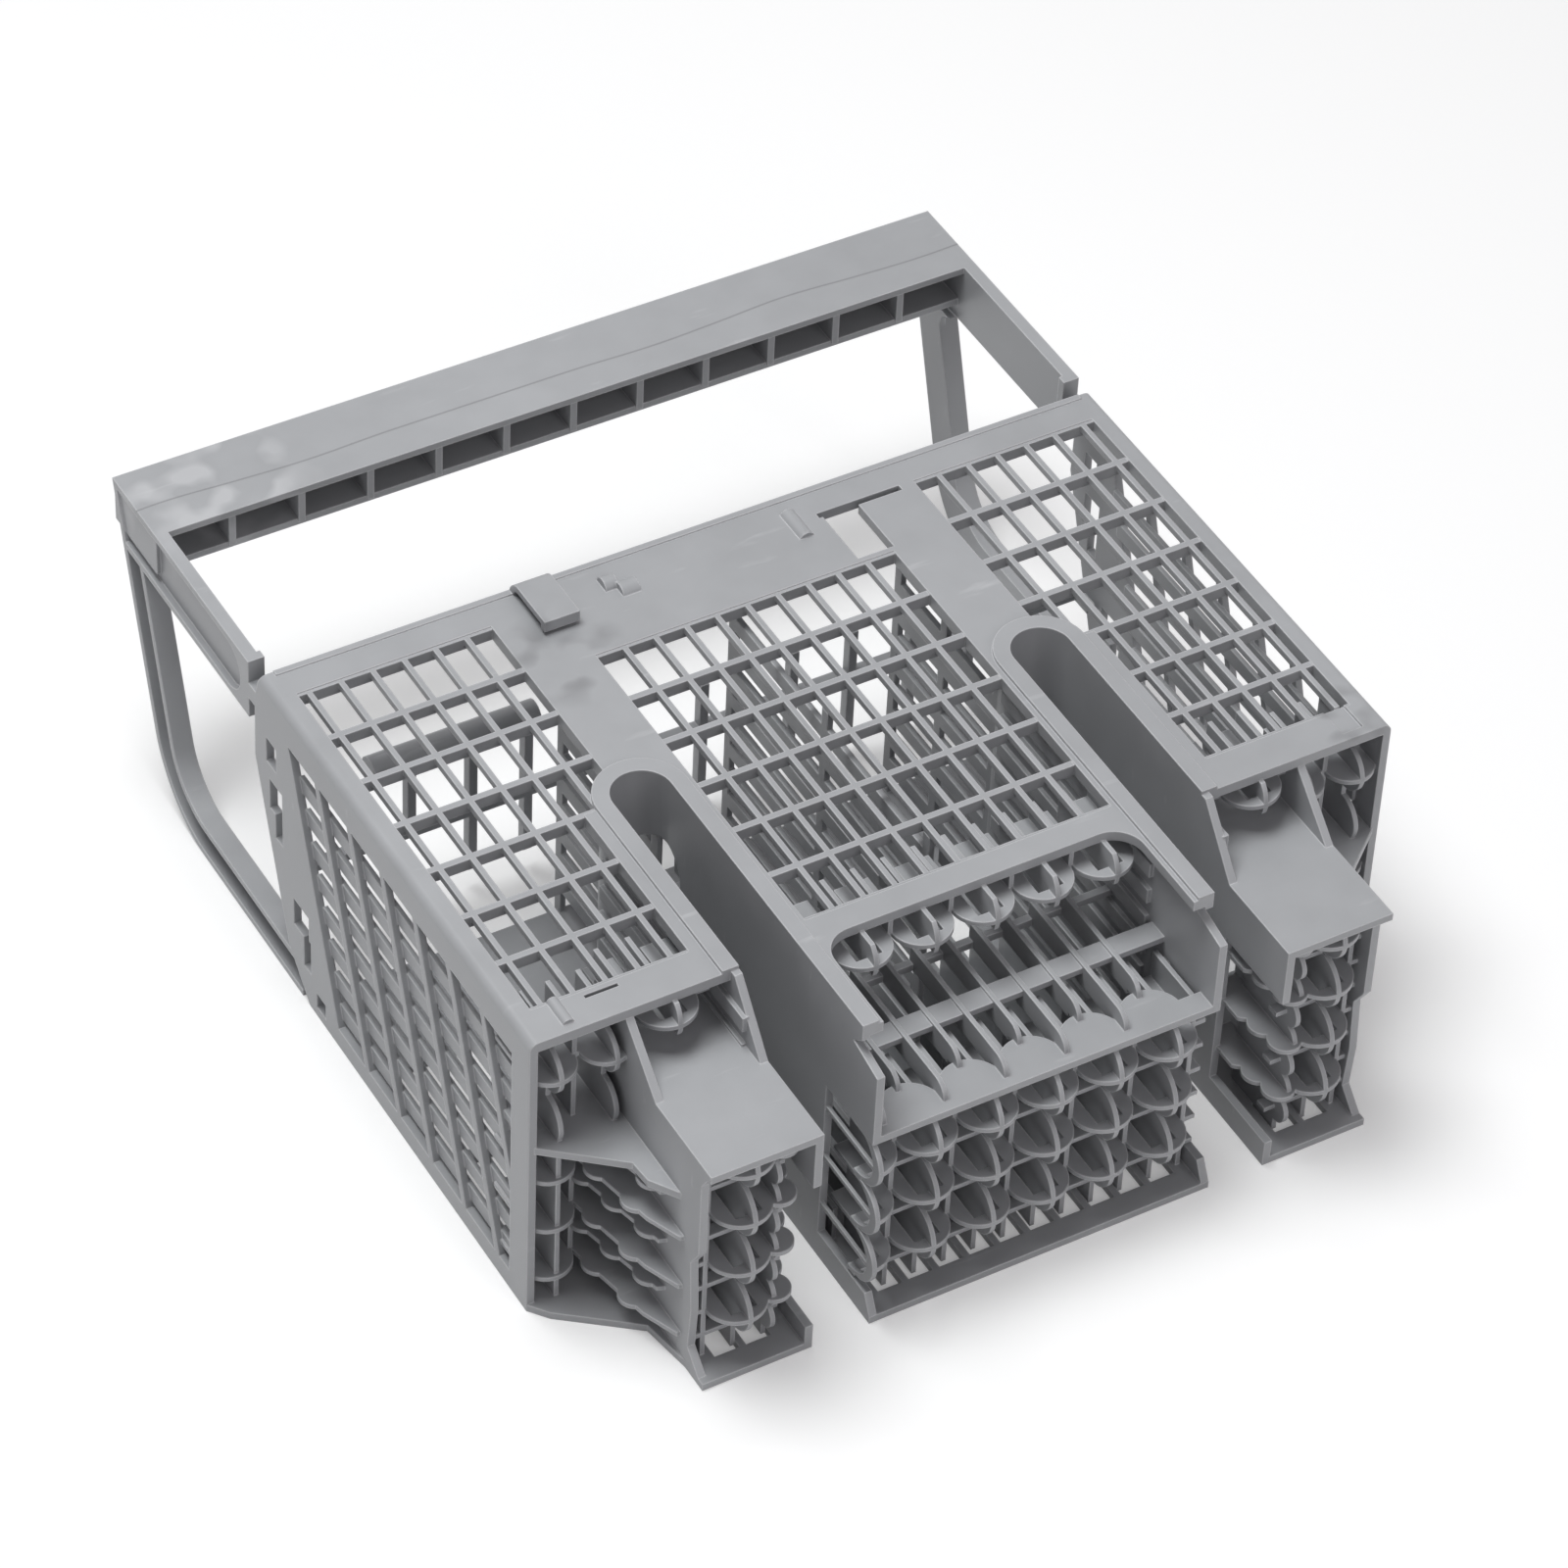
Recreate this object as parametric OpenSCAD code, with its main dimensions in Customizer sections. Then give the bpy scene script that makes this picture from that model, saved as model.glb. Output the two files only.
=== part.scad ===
// Cutlery basket of a dishwasher, one piece of moulded plastic, lying on its back.
// X runs across the basket, Y from its feet to its handle, Z up from its back wall
// to its front grille. Lengths are in millimetres.

/* [Body] */
// Width across the side walls
basket_width = 242; // [200:1:280]
// Depth from back wall to front wall
basket_depth = 92.5; // [80:0.5:110]
// Height from the feet to the mouth
basket_height = 186; // [170:1:220]
// Thickness of the side, back and slot walls
wall = 2.2; // [1.6:0.1:3]
// Thickness of the front wall round its grilles
front_wall = 3; // [2.4:0.1:4]
// How far above the feet the two outer legs end
outer_leg_end = 42.5; // [36:0.5:50]
// How far above the feet the back wall ends at the mouth
back_top = 160; // [150:1:170]

/* [Slots between the legs] */
// Clear width of each slot
slot_width = 16; // [10:0.5:20]
// Distance of each slot's middle from the basket's middle
slot_centre = 57; // [52:0.5:62]
// Height at which the round end of a slot begins
slot_length = 105; // [90:1:112]
// Height of the slot walls' lower band along the back wall
slot_lip = 8; // [6:0.5:12]
// How far up from the feet the slot walls stay open
slot_wall_gap = 26; // [20:1:34]
// How far the rim round a slot stands out of the front wall
slot_rim = 0.8; // [0.4:0.1:1.5]

/* [Feet and steps] */
// Distance of a foot's outer wall from the basket's middle
foot_outer = 95.5; // [88:0.5:100]
// Depth of the step in the outer legs below the front wall
outer_step = 17.5; // [14:0.5:22]
// Depth of the step in the middle leg below the front wall
middle_step = 30.5; // [26:0.5:36]
// Height above the feet at which the sloping end of an outer leg meets its step
step_rise = 27; // [22:0.5:32]
// Height of the two arm tips of the middle leg above the feet
arm_tip = 11.3; // [8:0.1:16]
// Width of these arms
arm_width = 5.7; // [4:0.1:8]
// Height of the top edge of the recess in the middle leg
recess_top = 42.2; // [38:0.1:46]
// Radius of the recess's corners
recess_radius = 8; // [4:0.5:12]
// Height of the chamber floor in an outer leg above the back wall
chamber_floor = 57; // [50:1:66]

/* [Front grilles] */
// Spacing of the upright bars
column_pitch = 8.75; // [7:0.05:9.5]
// Width of the upright bars
column_bar = 1.5; // [1:0.1:2.5]
// Spacing of the cross bars
row_pitch = 17.6; // [14:0.1:17.8]
// Width of the cross bars
row_bar = 1.8; // [1:0.1:3]
// Thickness of all the bars
bar_depth = 2; // [1.2:0.1:2.4]
// Upper edge of the middle grille above the feet
middle_grille_top = 155; // [150:0.5:160]
// Plain border between the mouth edge and the outer grilles
mouth_border = 9.8; // [8:0.1:12]
// Plain border between a side wall and the grille beside it
side_border = 5.7; // [4:0.1:8]
// Distance of the outer grilles' inner edge from the basket's middle
outer_grille_inner = 61.3; // [60:0.1:63]
// Distance of that edge from the middle beside the slots
outer_grille_low = 72.9; // [71:0.1:76]

/* [Side grilles] */
// Spacing of the slanting ribs
side_rib_pitch = 17.5; // [14:0.1:20]
// Width of the slanting ribs
side_rib = 2.2; // [1.6:0.1:3]
// Slant of the ribs in degrees
side_rib_slant = 19; // [12:1:24]
// Spacing of the louvres
louvre_pitch = 8.75; // [7:0.05:10]
// Width of the louvres
louvre_width = 5; // [3:0.1:6]
// Thickness of the louvres
louvre = 1.2; // [0.8:0.1:2]
// Tilt of the louvres in degrees
louvre_tilt = 28; // [10:1:40]
// Upper edge of the side grille above the back wall
side_grille_top = 82; // [76:1:86]
// Lower edge of the side grille above the back wall
side_grille_base = 6; // [5:0.5:12]
// Width of the post at the leg end of a side wall
corner_post = 9; // [6:0.5:12]

/* [Fin lattice] */
// Thickness of the fins
fin = 1.2; // [0.8:0.1:2]
// Height up to which the fins reach from the feet
fin_top = 104; // [90:1:110]
// Spacing of the cross plates between the fins
shelf_pitch = 17; // [15:0.5:18]
// Height of the first cross plate above the back wall
shelf_first = 18; // [14:0.5:22]
// Thickness of the cross plates
shelf = 1.2; // [0.8:0.1:2]
// Depth of the cross plates, measured up from their scalloped edge
shelf_width = 20; // [12:1:30]
// How much shorter the short fins are than the long ones
fin_step = 8.6; // [5:0.1:12]

/* [Handle] */
// Distance of the handle's far edge from the feet
handle_far = 270.5; // [256:0.5:290]
// Width of the handle bar
handle_width = 25.5; // [20:0.5:32]
// Depth of the handle bar
handle_depth = 14; // [10:0.5:18]
// Thickness of the handle's walls
handle_wall = 2; // [1.6:0.1:3]
// Spacing of the ribs inside the handle bar
handle_rib_pitch = 19.75; // [16:0.05:22]
// Width of the side arms, measured across them
side_arm = 16.5; // [12:0.5:20]
// How far the flanges of the side arms stand outwards
side_arm_flange = 4.3; // [3:0.1:6]
// Thickness of the side arms' web and flanges
side_arm_wall = 1.8; // [1.4:0.1:2.4]
// Radius of the outer edge of the bend in the side arms
side_arm_radius = 30; // [24:0.5:36]
// Slope of the curved arm's upper length in degrees
side_arm_slope = 67.7; // [62:0.1:72]

/* [Hidden] */
$fn = 48;
half = basket_width / 2;
front = basket_depth - front_wall;
slot_half = slot_width / 2;
middle_half = slot_centre - slot_half;
outer_inner = slot_centre + slot_half;
outer_step_top = basket_depth - outer_step;
middle_step_top = basket_depth - middle_step;
side_span = half - wall;
middle_columns = 10;
outer_columns = 6;
long_fins = 2;
handle_ribs = 11;
eps = 0.01;

// ---- outlines in the plane of the front wall

module slot_shape(r, low) {
  translate([-r, low])
    square([2 * r, slot_length - low]);
  translate([0, slot_length])
    circle(r);
}

module body_shape() {
  difference() {
    union() {
      translate([-half, outer_leg_end])
        square([basket_width, basket_height - outer_leg_end]);
      translate([-middle_half, arm_tip])
        square([2 * middle_half, basket_height - arm_tip - 1]);
    }
    for (s = [-1, 1])
      translate([s * slot_centre, 0])
        slot_shape(slot_half, -1);
    recess_shape();
  }
}

module recess_shape() {
  w = middle_half - arm_width;
  translate([-w, -1])
    square([2 * w, recess_top - recess_radius + 1]);
  translate([-(w - recess_radius), 0])
    square([2 * (w - recess_radius), recess_top]);
  for (s = [-1, 1])
    translate([s * (w - recess_radius), recess_top - recess_radius])
      circle(recess_radius);
}

module cell(x0, x1, y0, y1) {
  translate([x0, y0])
    square([x1 - x0, y1 - y0]);
}

// Openings of one grille: columns from x0 to x1 about bars at first + k * pitch.
module cells(x0, x1, first, columns, top, rows) {
  for (k = [0 : columns]) {
    a = k == 0 ? x0 : first + (k - 1) * column_pitch + column_bar / 2;
    b = k == columns ? x1 : first + k * column_pitch - column_bar / 2;
    for (j = [0 : rows - 1])
      cell(a, b, top - (j + 1) * row_pitch + row_bar / 2, top - j * row_pitch - row_bar / 2);
  }
}

middle_edge = middle_columns / 2 * column_pitch - column_bar / 2;
outer_edge = half - side_border;
outer_top = basket_height - mouth_border;
outer_first = 68.5;
low_first = outer_first + column_pitch;

module window_shapes() {
  cell(-middle_edge, middle_edge, middle_grille_top - 6 * row_pitch, middle_grille_top);
  for (s = [0, 1])
    mirror([s, 0]) {
      cell(outer_grille_inner, outer_edge, outer_top - 3 * row_pitch, outer_top);
      cell(outer_grille_low, outer_edge, outer_top - 7 * row_pitch, outer_top - 3 * row_pitch + 1);
    }
}

module front_wall_solid() {
  translate([0, 0, front])
    linear_extrude(front_wall)
      difference() {
        body_shape();
        window_shapes();
      }
}

module middle_grille() {
  margin = 0.6;
  low = middle_grille_top - 6 * row_pitch;
  translate([0, 0, basket_depth - bar_depth - 0.3])
    linear_extrude(bar_depth)
      difference() {
        cell(-middle_edge - margin, middle_edge + margin, low - margin, middle_grille_top + margin);
        cells(-middle_edge, middle_edge, -(middle_columns / 2 - 1) * column_pitch,
          middle_columns - 1, middle_grille_top, 6);
      }
}

module outer_grille() {
  margin = 0.6;
  mid = outer_top - 3 * row_pitch;
  low = outer_top - 7 * row_pitch;
  translate([0, 0, basket_depth - bar_depth - 0.3])
    linear_extrude(bar_depth)
      difference() {
        union() {
          cell(outer_grille_inner - margin, outer_edge + margin, mid - margin, outer_top + margin);
          cell(outer_grille_low - margin, outer_edge + margin, low - margin, mid);
        }
        cells(outer_grille_inner, outer_edge, outer_first, outer_columns, outer_top, 3);
        cells(outer_grille_low, outer_edge, low_first, outer_columns - 1, mid, 4);
      }
}

// ---- side walls, drawn in the Y-Z plane and stood up across X

module across(x0, thick) {
  translate([x0, 0, 0])
    rotate([90, 0, 90])
      linear_extrude(thick)
        children();
}

function grille_edge(z) = 170 - (side_grille_top - z) * tan(side_rib_slant);

module side_shape() {
  polygon([
    [outer_leg_end, 0], [back_top, 0], [171.5, 12], [basket_height + 3, 64],
    [basket_height + 2.5, 84], [basket_height, basket_depth], [outer_leg_end, basket_depth]
  ]);
}

module side_window() {
  y0 = outer_leg_end + corner_post;
  polygon([
    [y0, side_grille_base], [grille_edge(side_grille_base), side_grille_base],
    [grille_edge(side_grille_top), side_grille_top], [y0, side_grille_top]
  ]);
}

module side_ribs() {
  y0 = outer_leg_end + corner_post;
  rise = side_grille_top - side_grille_base;
  run = rise * tan(side_rib_slant);
  w = side_rib / cos(side_rib_slant);
  intersection() {
    side_window();
    for (k = [1 : 7]) {
      y = grille_edge(side_grille_base) - k * side_rib_pitch;
      polygon([
        [y, side_grille_base - 1], [y + w, side_grille_base - 1],
        [y + w + run + 1, side_grille_top + 1], [y + run + 1, side_grille_top + 1]
      ]);
    }
  }
}

module side_holes() {
  translate([177, 67])
    square([5.5, 8]);
  translate([174, 52])
    square([7, 10]);
  translate([174, 44])
    square([4, 10]);
  translate([160, 22])
    square([8.5, 9]);
  translate([159, 12])
    square([4, 11]);
  translate([151, 3])
    square([5, 5]);
}

module side_wall() {
  difference() {
    across(-half, wall)
      difference() {
        side_shape();
        side_window();
        side_holes();
      }
  }
  across(-half, wall - 0.3)
    side_ribs();
  for (z = [side_grille_base + 5 : louvre_pitch : side_grille_top - 2])
    translate([-half + wall, outer_leg_end + corner_post - 1.5, z])
      rotate([0, louvre_tilt, 0])
        translate([-louvre / 2, 0, -louvre_width / 2])
          cube([louvre, grille_edge(z) + 3 - outer_leg_end - corner_post, louvre_width]);
}

// ---- back wall

module back_shape() {
  difference() {
    union() {
      translate([-middle_half, 0])
        square([2 * middle_half, back_top]);
      for (s = [0, 1])
        mirror([s, 0])
          polygon([
            [outer_inner, 0], [foot_outer, 0], [foot_outer, 8.5], [98, 23], [half - 4, outer_leg_end - 5],
            [half, outer_leg_end], [half, back_top], [0, back_top], [0, slot_length], [outer_inner, slot_length]
          ]);
    }
    for (s = [-1, 1])
      translate([s * slot_centre, 0])
        slot_shape(slot_half, -1);
  }
}

module back_cells() {
  hole = column_pitch - 1.9;
  tall = 2 * row_pitch - 3.2;
  for (k = [-5 : 4], j = [0 : 3])
    translate([(k + 0.5) * column_pitch - hole / 2, 8 + j * 2 * row_pitch])
      square([hole, tall]);
  for (s = [0, 1])
    mirror([s, 0]) {
      for (k = [0 : 4], j = [0 : 2])
        translate([72.9 + k * column_pitch, 8 + (j + 1) * 2 * row_pitch])
          square([hole, tall]);
      for (k = [0 : 1])
        translate([72.9 + k * column_pitch, 8])
          square([hole, tall]);
    }
}

module back_wall() {
  linear_extrude(wall)
    difference() {
      back_shape();
      back_cells();
    }
}

// ---- slot walls

module slot_walls() {
  for (s = [-1, 1])
    difference() {
      translate([s * slot_centre, 0, 0])
        linear_extrude(basket_depth)
          difference() {
            slot_shape(slot_half + wall, 0);
            slot_shape(slot_half, -1);
          }
      slot_wall_cut(s);
    }
}

module slot_wall_cut(s) {
  // open band beside the lattice
  out = s > 0 ? slot_centre : -slot_centre - slot_half - wall - 1;
  mid = s > 0 ? slot_centre - slot_half - wall - 1 : -slot_centre;
  w = slot_half + wall + 1;
  translate([out, -1, slot_lip])
    cube([w, slot_wall_gap + 1, outer_step_top - 18 - slot_lip]);
  translate([mid, -1, slot_lip])
    cube([w, slot_wall_gap + 1, middle_step_top - wall - slot_lip]);
  // sloping ends under the front wall
  across(out, w)
    polygon([
      [-1, outer_step_top], [step_rise, outer_step_top], [outer_leg_end - 1, basket_depth + 1], [-1, basket_depth + 1]
    ]);
  across(mid, w)
    polygon([
      [-1, -1 + 1], [3.6, slot_lip + 1], [3.6, basket_depth - 10], [arm_tip + 4, basket_depth - 7],
      [arm_tip, basket_depth - 4], [arm_tip, basket_depth + 1], [-1, basket_depth + 1]
    ]);
}

module slot_rims() {
  for (s = [-1, 1])
    translate([s * slot_centre, 0, front])
      linear_extrude(front_wall + slot_rim)
        intersection() {
          difference() {
            slot_shape(slot_half + wall, 0);
            slot_shape(slot_half, -1);
          }
          translate([-slot_width, outer_leg_end])
            square([2 * slot_width, basket_height]);
        }
}

// ---- legs

module outer_leg() {
  // step plate
  translate([outer_inner, 0, outer_step_top - wall])
    cube([foot_outer - outer_inner, step_rise + 14, wall]);
  // outer wall of the foot
  across(foot_outer - wall, wall)
    polygon([
      [0, 0], [8, 8], [7, 22], [8, 38], [4.4, 44], [4.4, 68], [0, outer_step_top],
      [step_rise, outer_step_top], [outer_leg_end, front + eps], [56, front + eps], [56, 0]
    ]);
  // floor of the open chamber
  translate([0, 0, chamber_floor - wall])
    linear_extrude(wall)
      polygon([
        [foot_outer - 1, 12], [100.5, 21], [101, 27.5], [half - 1, outer_leg_end + 0.5],
        [half - 1, 60], [foot_outer - 1, 60]
      ]);
}

module middle_step_plate() {
  translate([0, 0, middle_step_top - wall])
    linear_extrude(wall)
      union() {
        translate([-middle_half, 3.6])
          square([2 * middle_half, 8.4]);
        for (k = [-2.5 : 1 : 2.5])
          translate([k * 2 * column_pitch, 12])
            circle(5);
      }
  translate([-middle_half, slot_wall_gap - 1.5, middle_step_top + 3])
    cube([2 * middle_half, 5.5, 1.6]);
}

// ---- fin lattice

// Lower edge of a fin: between two cross plates it bulges out towards the feet.
module fin_shape(low, high, shift) {
  radius = 18.7;
  intersection() {
    union() {
      translate([shift + 10, low])
        square([fin_top - shift - 10, high - low]);
      for (z = [shelf_first - shelf_pitch : shelf_pitch : high])
        intersection() {
          translate([shift + 1 + radius, z])
            circle(radius);
          translate([shift, z])
            square([14, shelf_pitch]);
        }
    }
    translate([0, low])
      square([fin_top, high - low]);
  }
}

module fins(xs, low, high, shift) {
  intersection() {
    for (x = xs)
      translate([x - fin / 2, -1, low - 1])
        cube([fin, fin_top + 2, high - low + 2]);
    across(min(xs) - fin, max(xs) - min(xs) + 2 * fin)
      fin_shape(low, high, shift);
  }
}

// Cross plates with a scalloped lower edge that hangs lowest at the long fins.
module shelf_shape(x0, x1, centre, base) {
  intersection() {
    union() {
      translate([x0, base + 9])
        square([x1 - x0, shelf_width]);
      for (k = [-4 : 4])
        translate([centre + k * 2 * column_pitch, base + 9.5])
          circle(column_pitch - 0.2);
    }
    translate([x0, base])
      square([x1 - x0, shelf_width + 20]);
  }
}

module shelves(x0, x1, centre, base, levels) {
  for (j = levels)
    translate([0, 0, shelf_first + j * shelf_pitch - shelf])
      linear_extrude(shelf)
        shelf_shape(x0, x1, centre, base);
}

module middle_lattice() {
  p = column_pitch;
  difference() {
    union() {
      fins([for (k = [-2 : 2]) k * 2 * p], wall - 0.5, front + 0.5, 0);
      fins([for (k = [-1.5 : 1 : 1.5]) k * 2 * p], wall - 0.5, front + 0.5, fin_step);
    }
    // clearance of the recess above the fins
    across(-middle_half + wall, 2 * (middle_half - wall))
      polygon([
        [-2, middle_step_top - wall + 0.5], [3, middle_step_top - wall + 0.5], [3, middle_step_top + 4], [9, 72],
        [17, 76], [38, 77], [38, basket_depth + 1], [-2, basket_depth + 1]
      ]);
  }
  shelves(-middle_half + wall / 2, middle_half - wall / 2, 0, 0, [0, 1, 2]);
  shelves(-middle_half + wall / 2, middle_half - wall / 2, 0, 30, [4]);
}

module outer_lattice() {
  p = column_pitch;
  // in the foot
  intersection() {
    union() {
      fins([outer_inner + 15.2], wall - 0.5, outer_step_top - 0.5, 0);
      fins([outer_inner + 6.4, outer_inner + 24], wall - 0.5, outer_step_top - 0.5, fin_step);
    }
    translate([outer_inner, 0, 0])
      cube([foot_outer - outer_inner, fin_top, outer_step_top - 0.5]);
  }
  shelves(outer_inner + 1.5, foot_outer - 1, outer_inner + 15.2, 0, [0, 1, 2, 3]);
  // beside the foot
  fins([foot_outer + 7.5, foot_outer + 16.5], wall - 0.5, chamber_floor - 0.5, 34);
  shelves(foot_outer - 1, half - 1, foot_outer + 12, 34, [0, 1]);
  // above the step
  fins([outer_inner + 15.2, foot_outer + 12], outer_step_top - 1, front + 0.5, 40);
  shelves(outer_inner + 1.5, half - 1, outer_inner + 15.2, 37, [4]);
}

// ---- mouth grid of the rear compartment

module mouth_grid() {
  y = basket_height - 8;
  rotate([90, 0, 0])
    translate([0, 0, -y - 3])
      linear_extrude(3)
        difference() {
          translate([-side_span - 1, 22])
            square([2 * side_span + 2, 29]);
          for (s = [-1, 1], x = [0, 21.6, 39.2, 57, 74.8, 92.4])
            translate([s * x - 7.4, 27])
              square([14.8, 20]);
        }
  translate([-side_span - 1, y + 2, 49])
    rotate([0, 90, 0])
      cylinder(h = 2 * side_span + 2, r = 3.4);
}

// ---- hook, window and small features at the mouth

module mouth_cuts() {
  // window with a tongue, and a narrow slot above it
  translate([32.5, basket_height - 11.5, front - 1])
    cube([24.5, 1.8, front_wall + 3]);
  translate([33.5, basket_height - 29.5, front - 1])
    cube([10.5, 19, front_wall + 3]);
}

module hook() {
  w = 10.5;
  translate([-50.5, basket_height - 16, basket_depth - 1])
    cube([w, 16, 3]);
  translate([-50.5, basket_height - 20, basket_depth + 2])
    cube([w, 18, 2.4]);
}

module nibs() {
  translate([-24, basket_height - 10, basket_depth - 1])
    rotate([0, 90, 0])
      cylinder(h = 5, r = 4);
  translate([25.5, basket_height - 16, basket_depth - 1])
    rotate([90, 0, 0])
      cylinder(h = 10, r = 3, center = true);
}

// ---- handle

arm_centre = [handle_far - 58.5, side_arm_radius];

// Everything on the basket's side of the curved arm's outer edge, set in by d.
module arm_side(d) {
  r = side_arm_radius - d;
  u = [cos(side_arm_slope), sin(side_arm_slope)];
  n = [u[1], -u[0]];
  c = arm_centre;
  translate(c)
    circle(r);
  polygon([c + r * n, c + r * n + 90 * u, c + 90 * u - [80, 0], [c[0] - 80, c[1]], c]);
  translate([c[0] - 80, d])
    square([80, side_arm_radius - d]);
}

module arm_band(d0, d1) {
  intersection() {
    difference() {
      arm_side(d0);
      arm_side(d1);
    }
    translate([back_top + 4, 0])
      square([handle_far - back_top - 4, basket_depth]);
  }
}

module arm_outline() {
  arm_band(0, side_arm);
  translate([basket_height + 7, basket_depth - side_arm])
    square([handle_far - basket_height - 8 - 10, side_arm]);
}

module arms() {
  x = half - side_arm_flange;
  z = basket_depth - side_arm;
  y0 = basket_height + 7;
  y1 = handle_far - 12;
  // web
  across(x, side_arm_wall)
    union() {
      arm_band(0, side_arm);
      translate([y0, z])
        square([y1 - y0, side_arm]);
      translate([basket_height - 3, z + 4])
        square([y0 - basket_height + 4, side_arm - 4]);
    }
  // flanges of the curved arm
  across(x, side_arm_flange)
    union() {
      arm_band(0, side_arm_wall);
      difference() {
        arm_band(side_arm - side_arm_wall, side_arm);
        translate([y0, z + side_arm_wall])
          square([100, side_arm]);
      }
    }
  // flanges of the straight arm
  translate([x, y0, basket_depth - side_arm_wall])
    cube([side_arm_flange, y1 - y0, side_arm_wall]);
  translate([x, y0, z])
    cube([side_arm_flange, handle_far - 24 - y0, side_arm_wall]);
  translate([x, y0, z])
    cube([side_arm_flange, side_arm_wall, side_arm]);
}

module handle_bar() {
  near = handle_far - handle_width;
  base = basket_depth - handle_depth;
  translate([-half, near, basket_depth - handle_wall])
    cube([basket_width, handle_width, handle_wall]);
  translate([-half, near + 2, base])
    cube([basket_width, handle_width - 2, handle_wall]);
  translate([-half, handle_far - handle_wall, base])
    cube([basket_width, handle_wall, handle_depth]);
  for (k = [0 : handle_ribs - 1])
    translate([(k - (handle_ribs - 1) / 2) * handle_rib_pitch - handle_wall / 2, near + 1.5, base + 1])
      cube([handle_wall, handle_width - 2.5, handle_depth - 2]);
  for (s = [0, 1])
    mirror([s, 0, 0])
      translate([half - side_arm_flange, near + 1, base])
        cube([handle_wall, handle_width - 1, handle_depth]);
}

// ---- the moulding

module shell() {
  difference() {
    union() {
      front_wall_solid();
      middle_grille();
      for (s = [0, 1])
        mirror([s, 0, 0]) {
          outer_grille();
          side_wall();
        }
      back_wall();
      slot_walls();
      slot_rims();
      mouth_grid();
      hook();
      nibs();
    }
    mouth_cuts();
  }
}

module basket() {
  color([0.58, 0.59, 0.6])
    translate([0, -handle_far / 2, 0])
      union() {
        shell();
        middle_lattice();
        middle_step_plate();
        for (s = [0, 1])
          mirror([s, 0, 0]) {
            outer_leg();
            outer_lattice();
            arms();
          }
        handle_bar();
      }
}

basket();
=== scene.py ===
import math
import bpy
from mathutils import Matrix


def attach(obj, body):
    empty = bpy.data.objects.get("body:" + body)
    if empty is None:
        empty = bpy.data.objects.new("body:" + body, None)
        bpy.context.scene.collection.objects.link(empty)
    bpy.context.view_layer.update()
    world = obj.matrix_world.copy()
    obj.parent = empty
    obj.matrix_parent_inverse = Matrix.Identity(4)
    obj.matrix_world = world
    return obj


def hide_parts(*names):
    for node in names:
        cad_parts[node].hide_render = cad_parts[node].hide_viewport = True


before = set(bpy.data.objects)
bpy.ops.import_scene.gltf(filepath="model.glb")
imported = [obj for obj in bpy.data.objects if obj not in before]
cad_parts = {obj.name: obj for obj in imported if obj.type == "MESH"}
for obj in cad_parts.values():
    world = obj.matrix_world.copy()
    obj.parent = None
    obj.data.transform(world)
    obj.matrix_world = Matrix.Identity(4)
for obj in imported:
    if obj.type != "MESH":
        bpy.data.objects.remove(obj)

from types import SimpleNamespace

import bpy
from bpy.props import FloatProperty, FloatVectorProperty, PointerProperty
from mathutils import Matrix, Vector

bl_info = {
    "name": "Cutlery Basket Builder",
    "version": (1, 1, 0),
    "blender": (4, 5, 0),
    "location": "View3D > Sidebar > Basket",
    "description": "Builds a moulded cutlery basket with its fin lattice, its plastic and a studio to show it in",
    "category": "Object",
}

MM = 0.001
SEGMENTS = 48
OVER = 2.0
BITE = 0.5


def length(label, note, millimetres):
    """Describe one length of the basket, given in millimetres and kept in metres."""
    return FloatProperty(
        name=label, description=note, default=millimetres * MM, min=0.0, precision=5, subtype="DISTANCE",
        unit="LENGTH")


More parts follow.
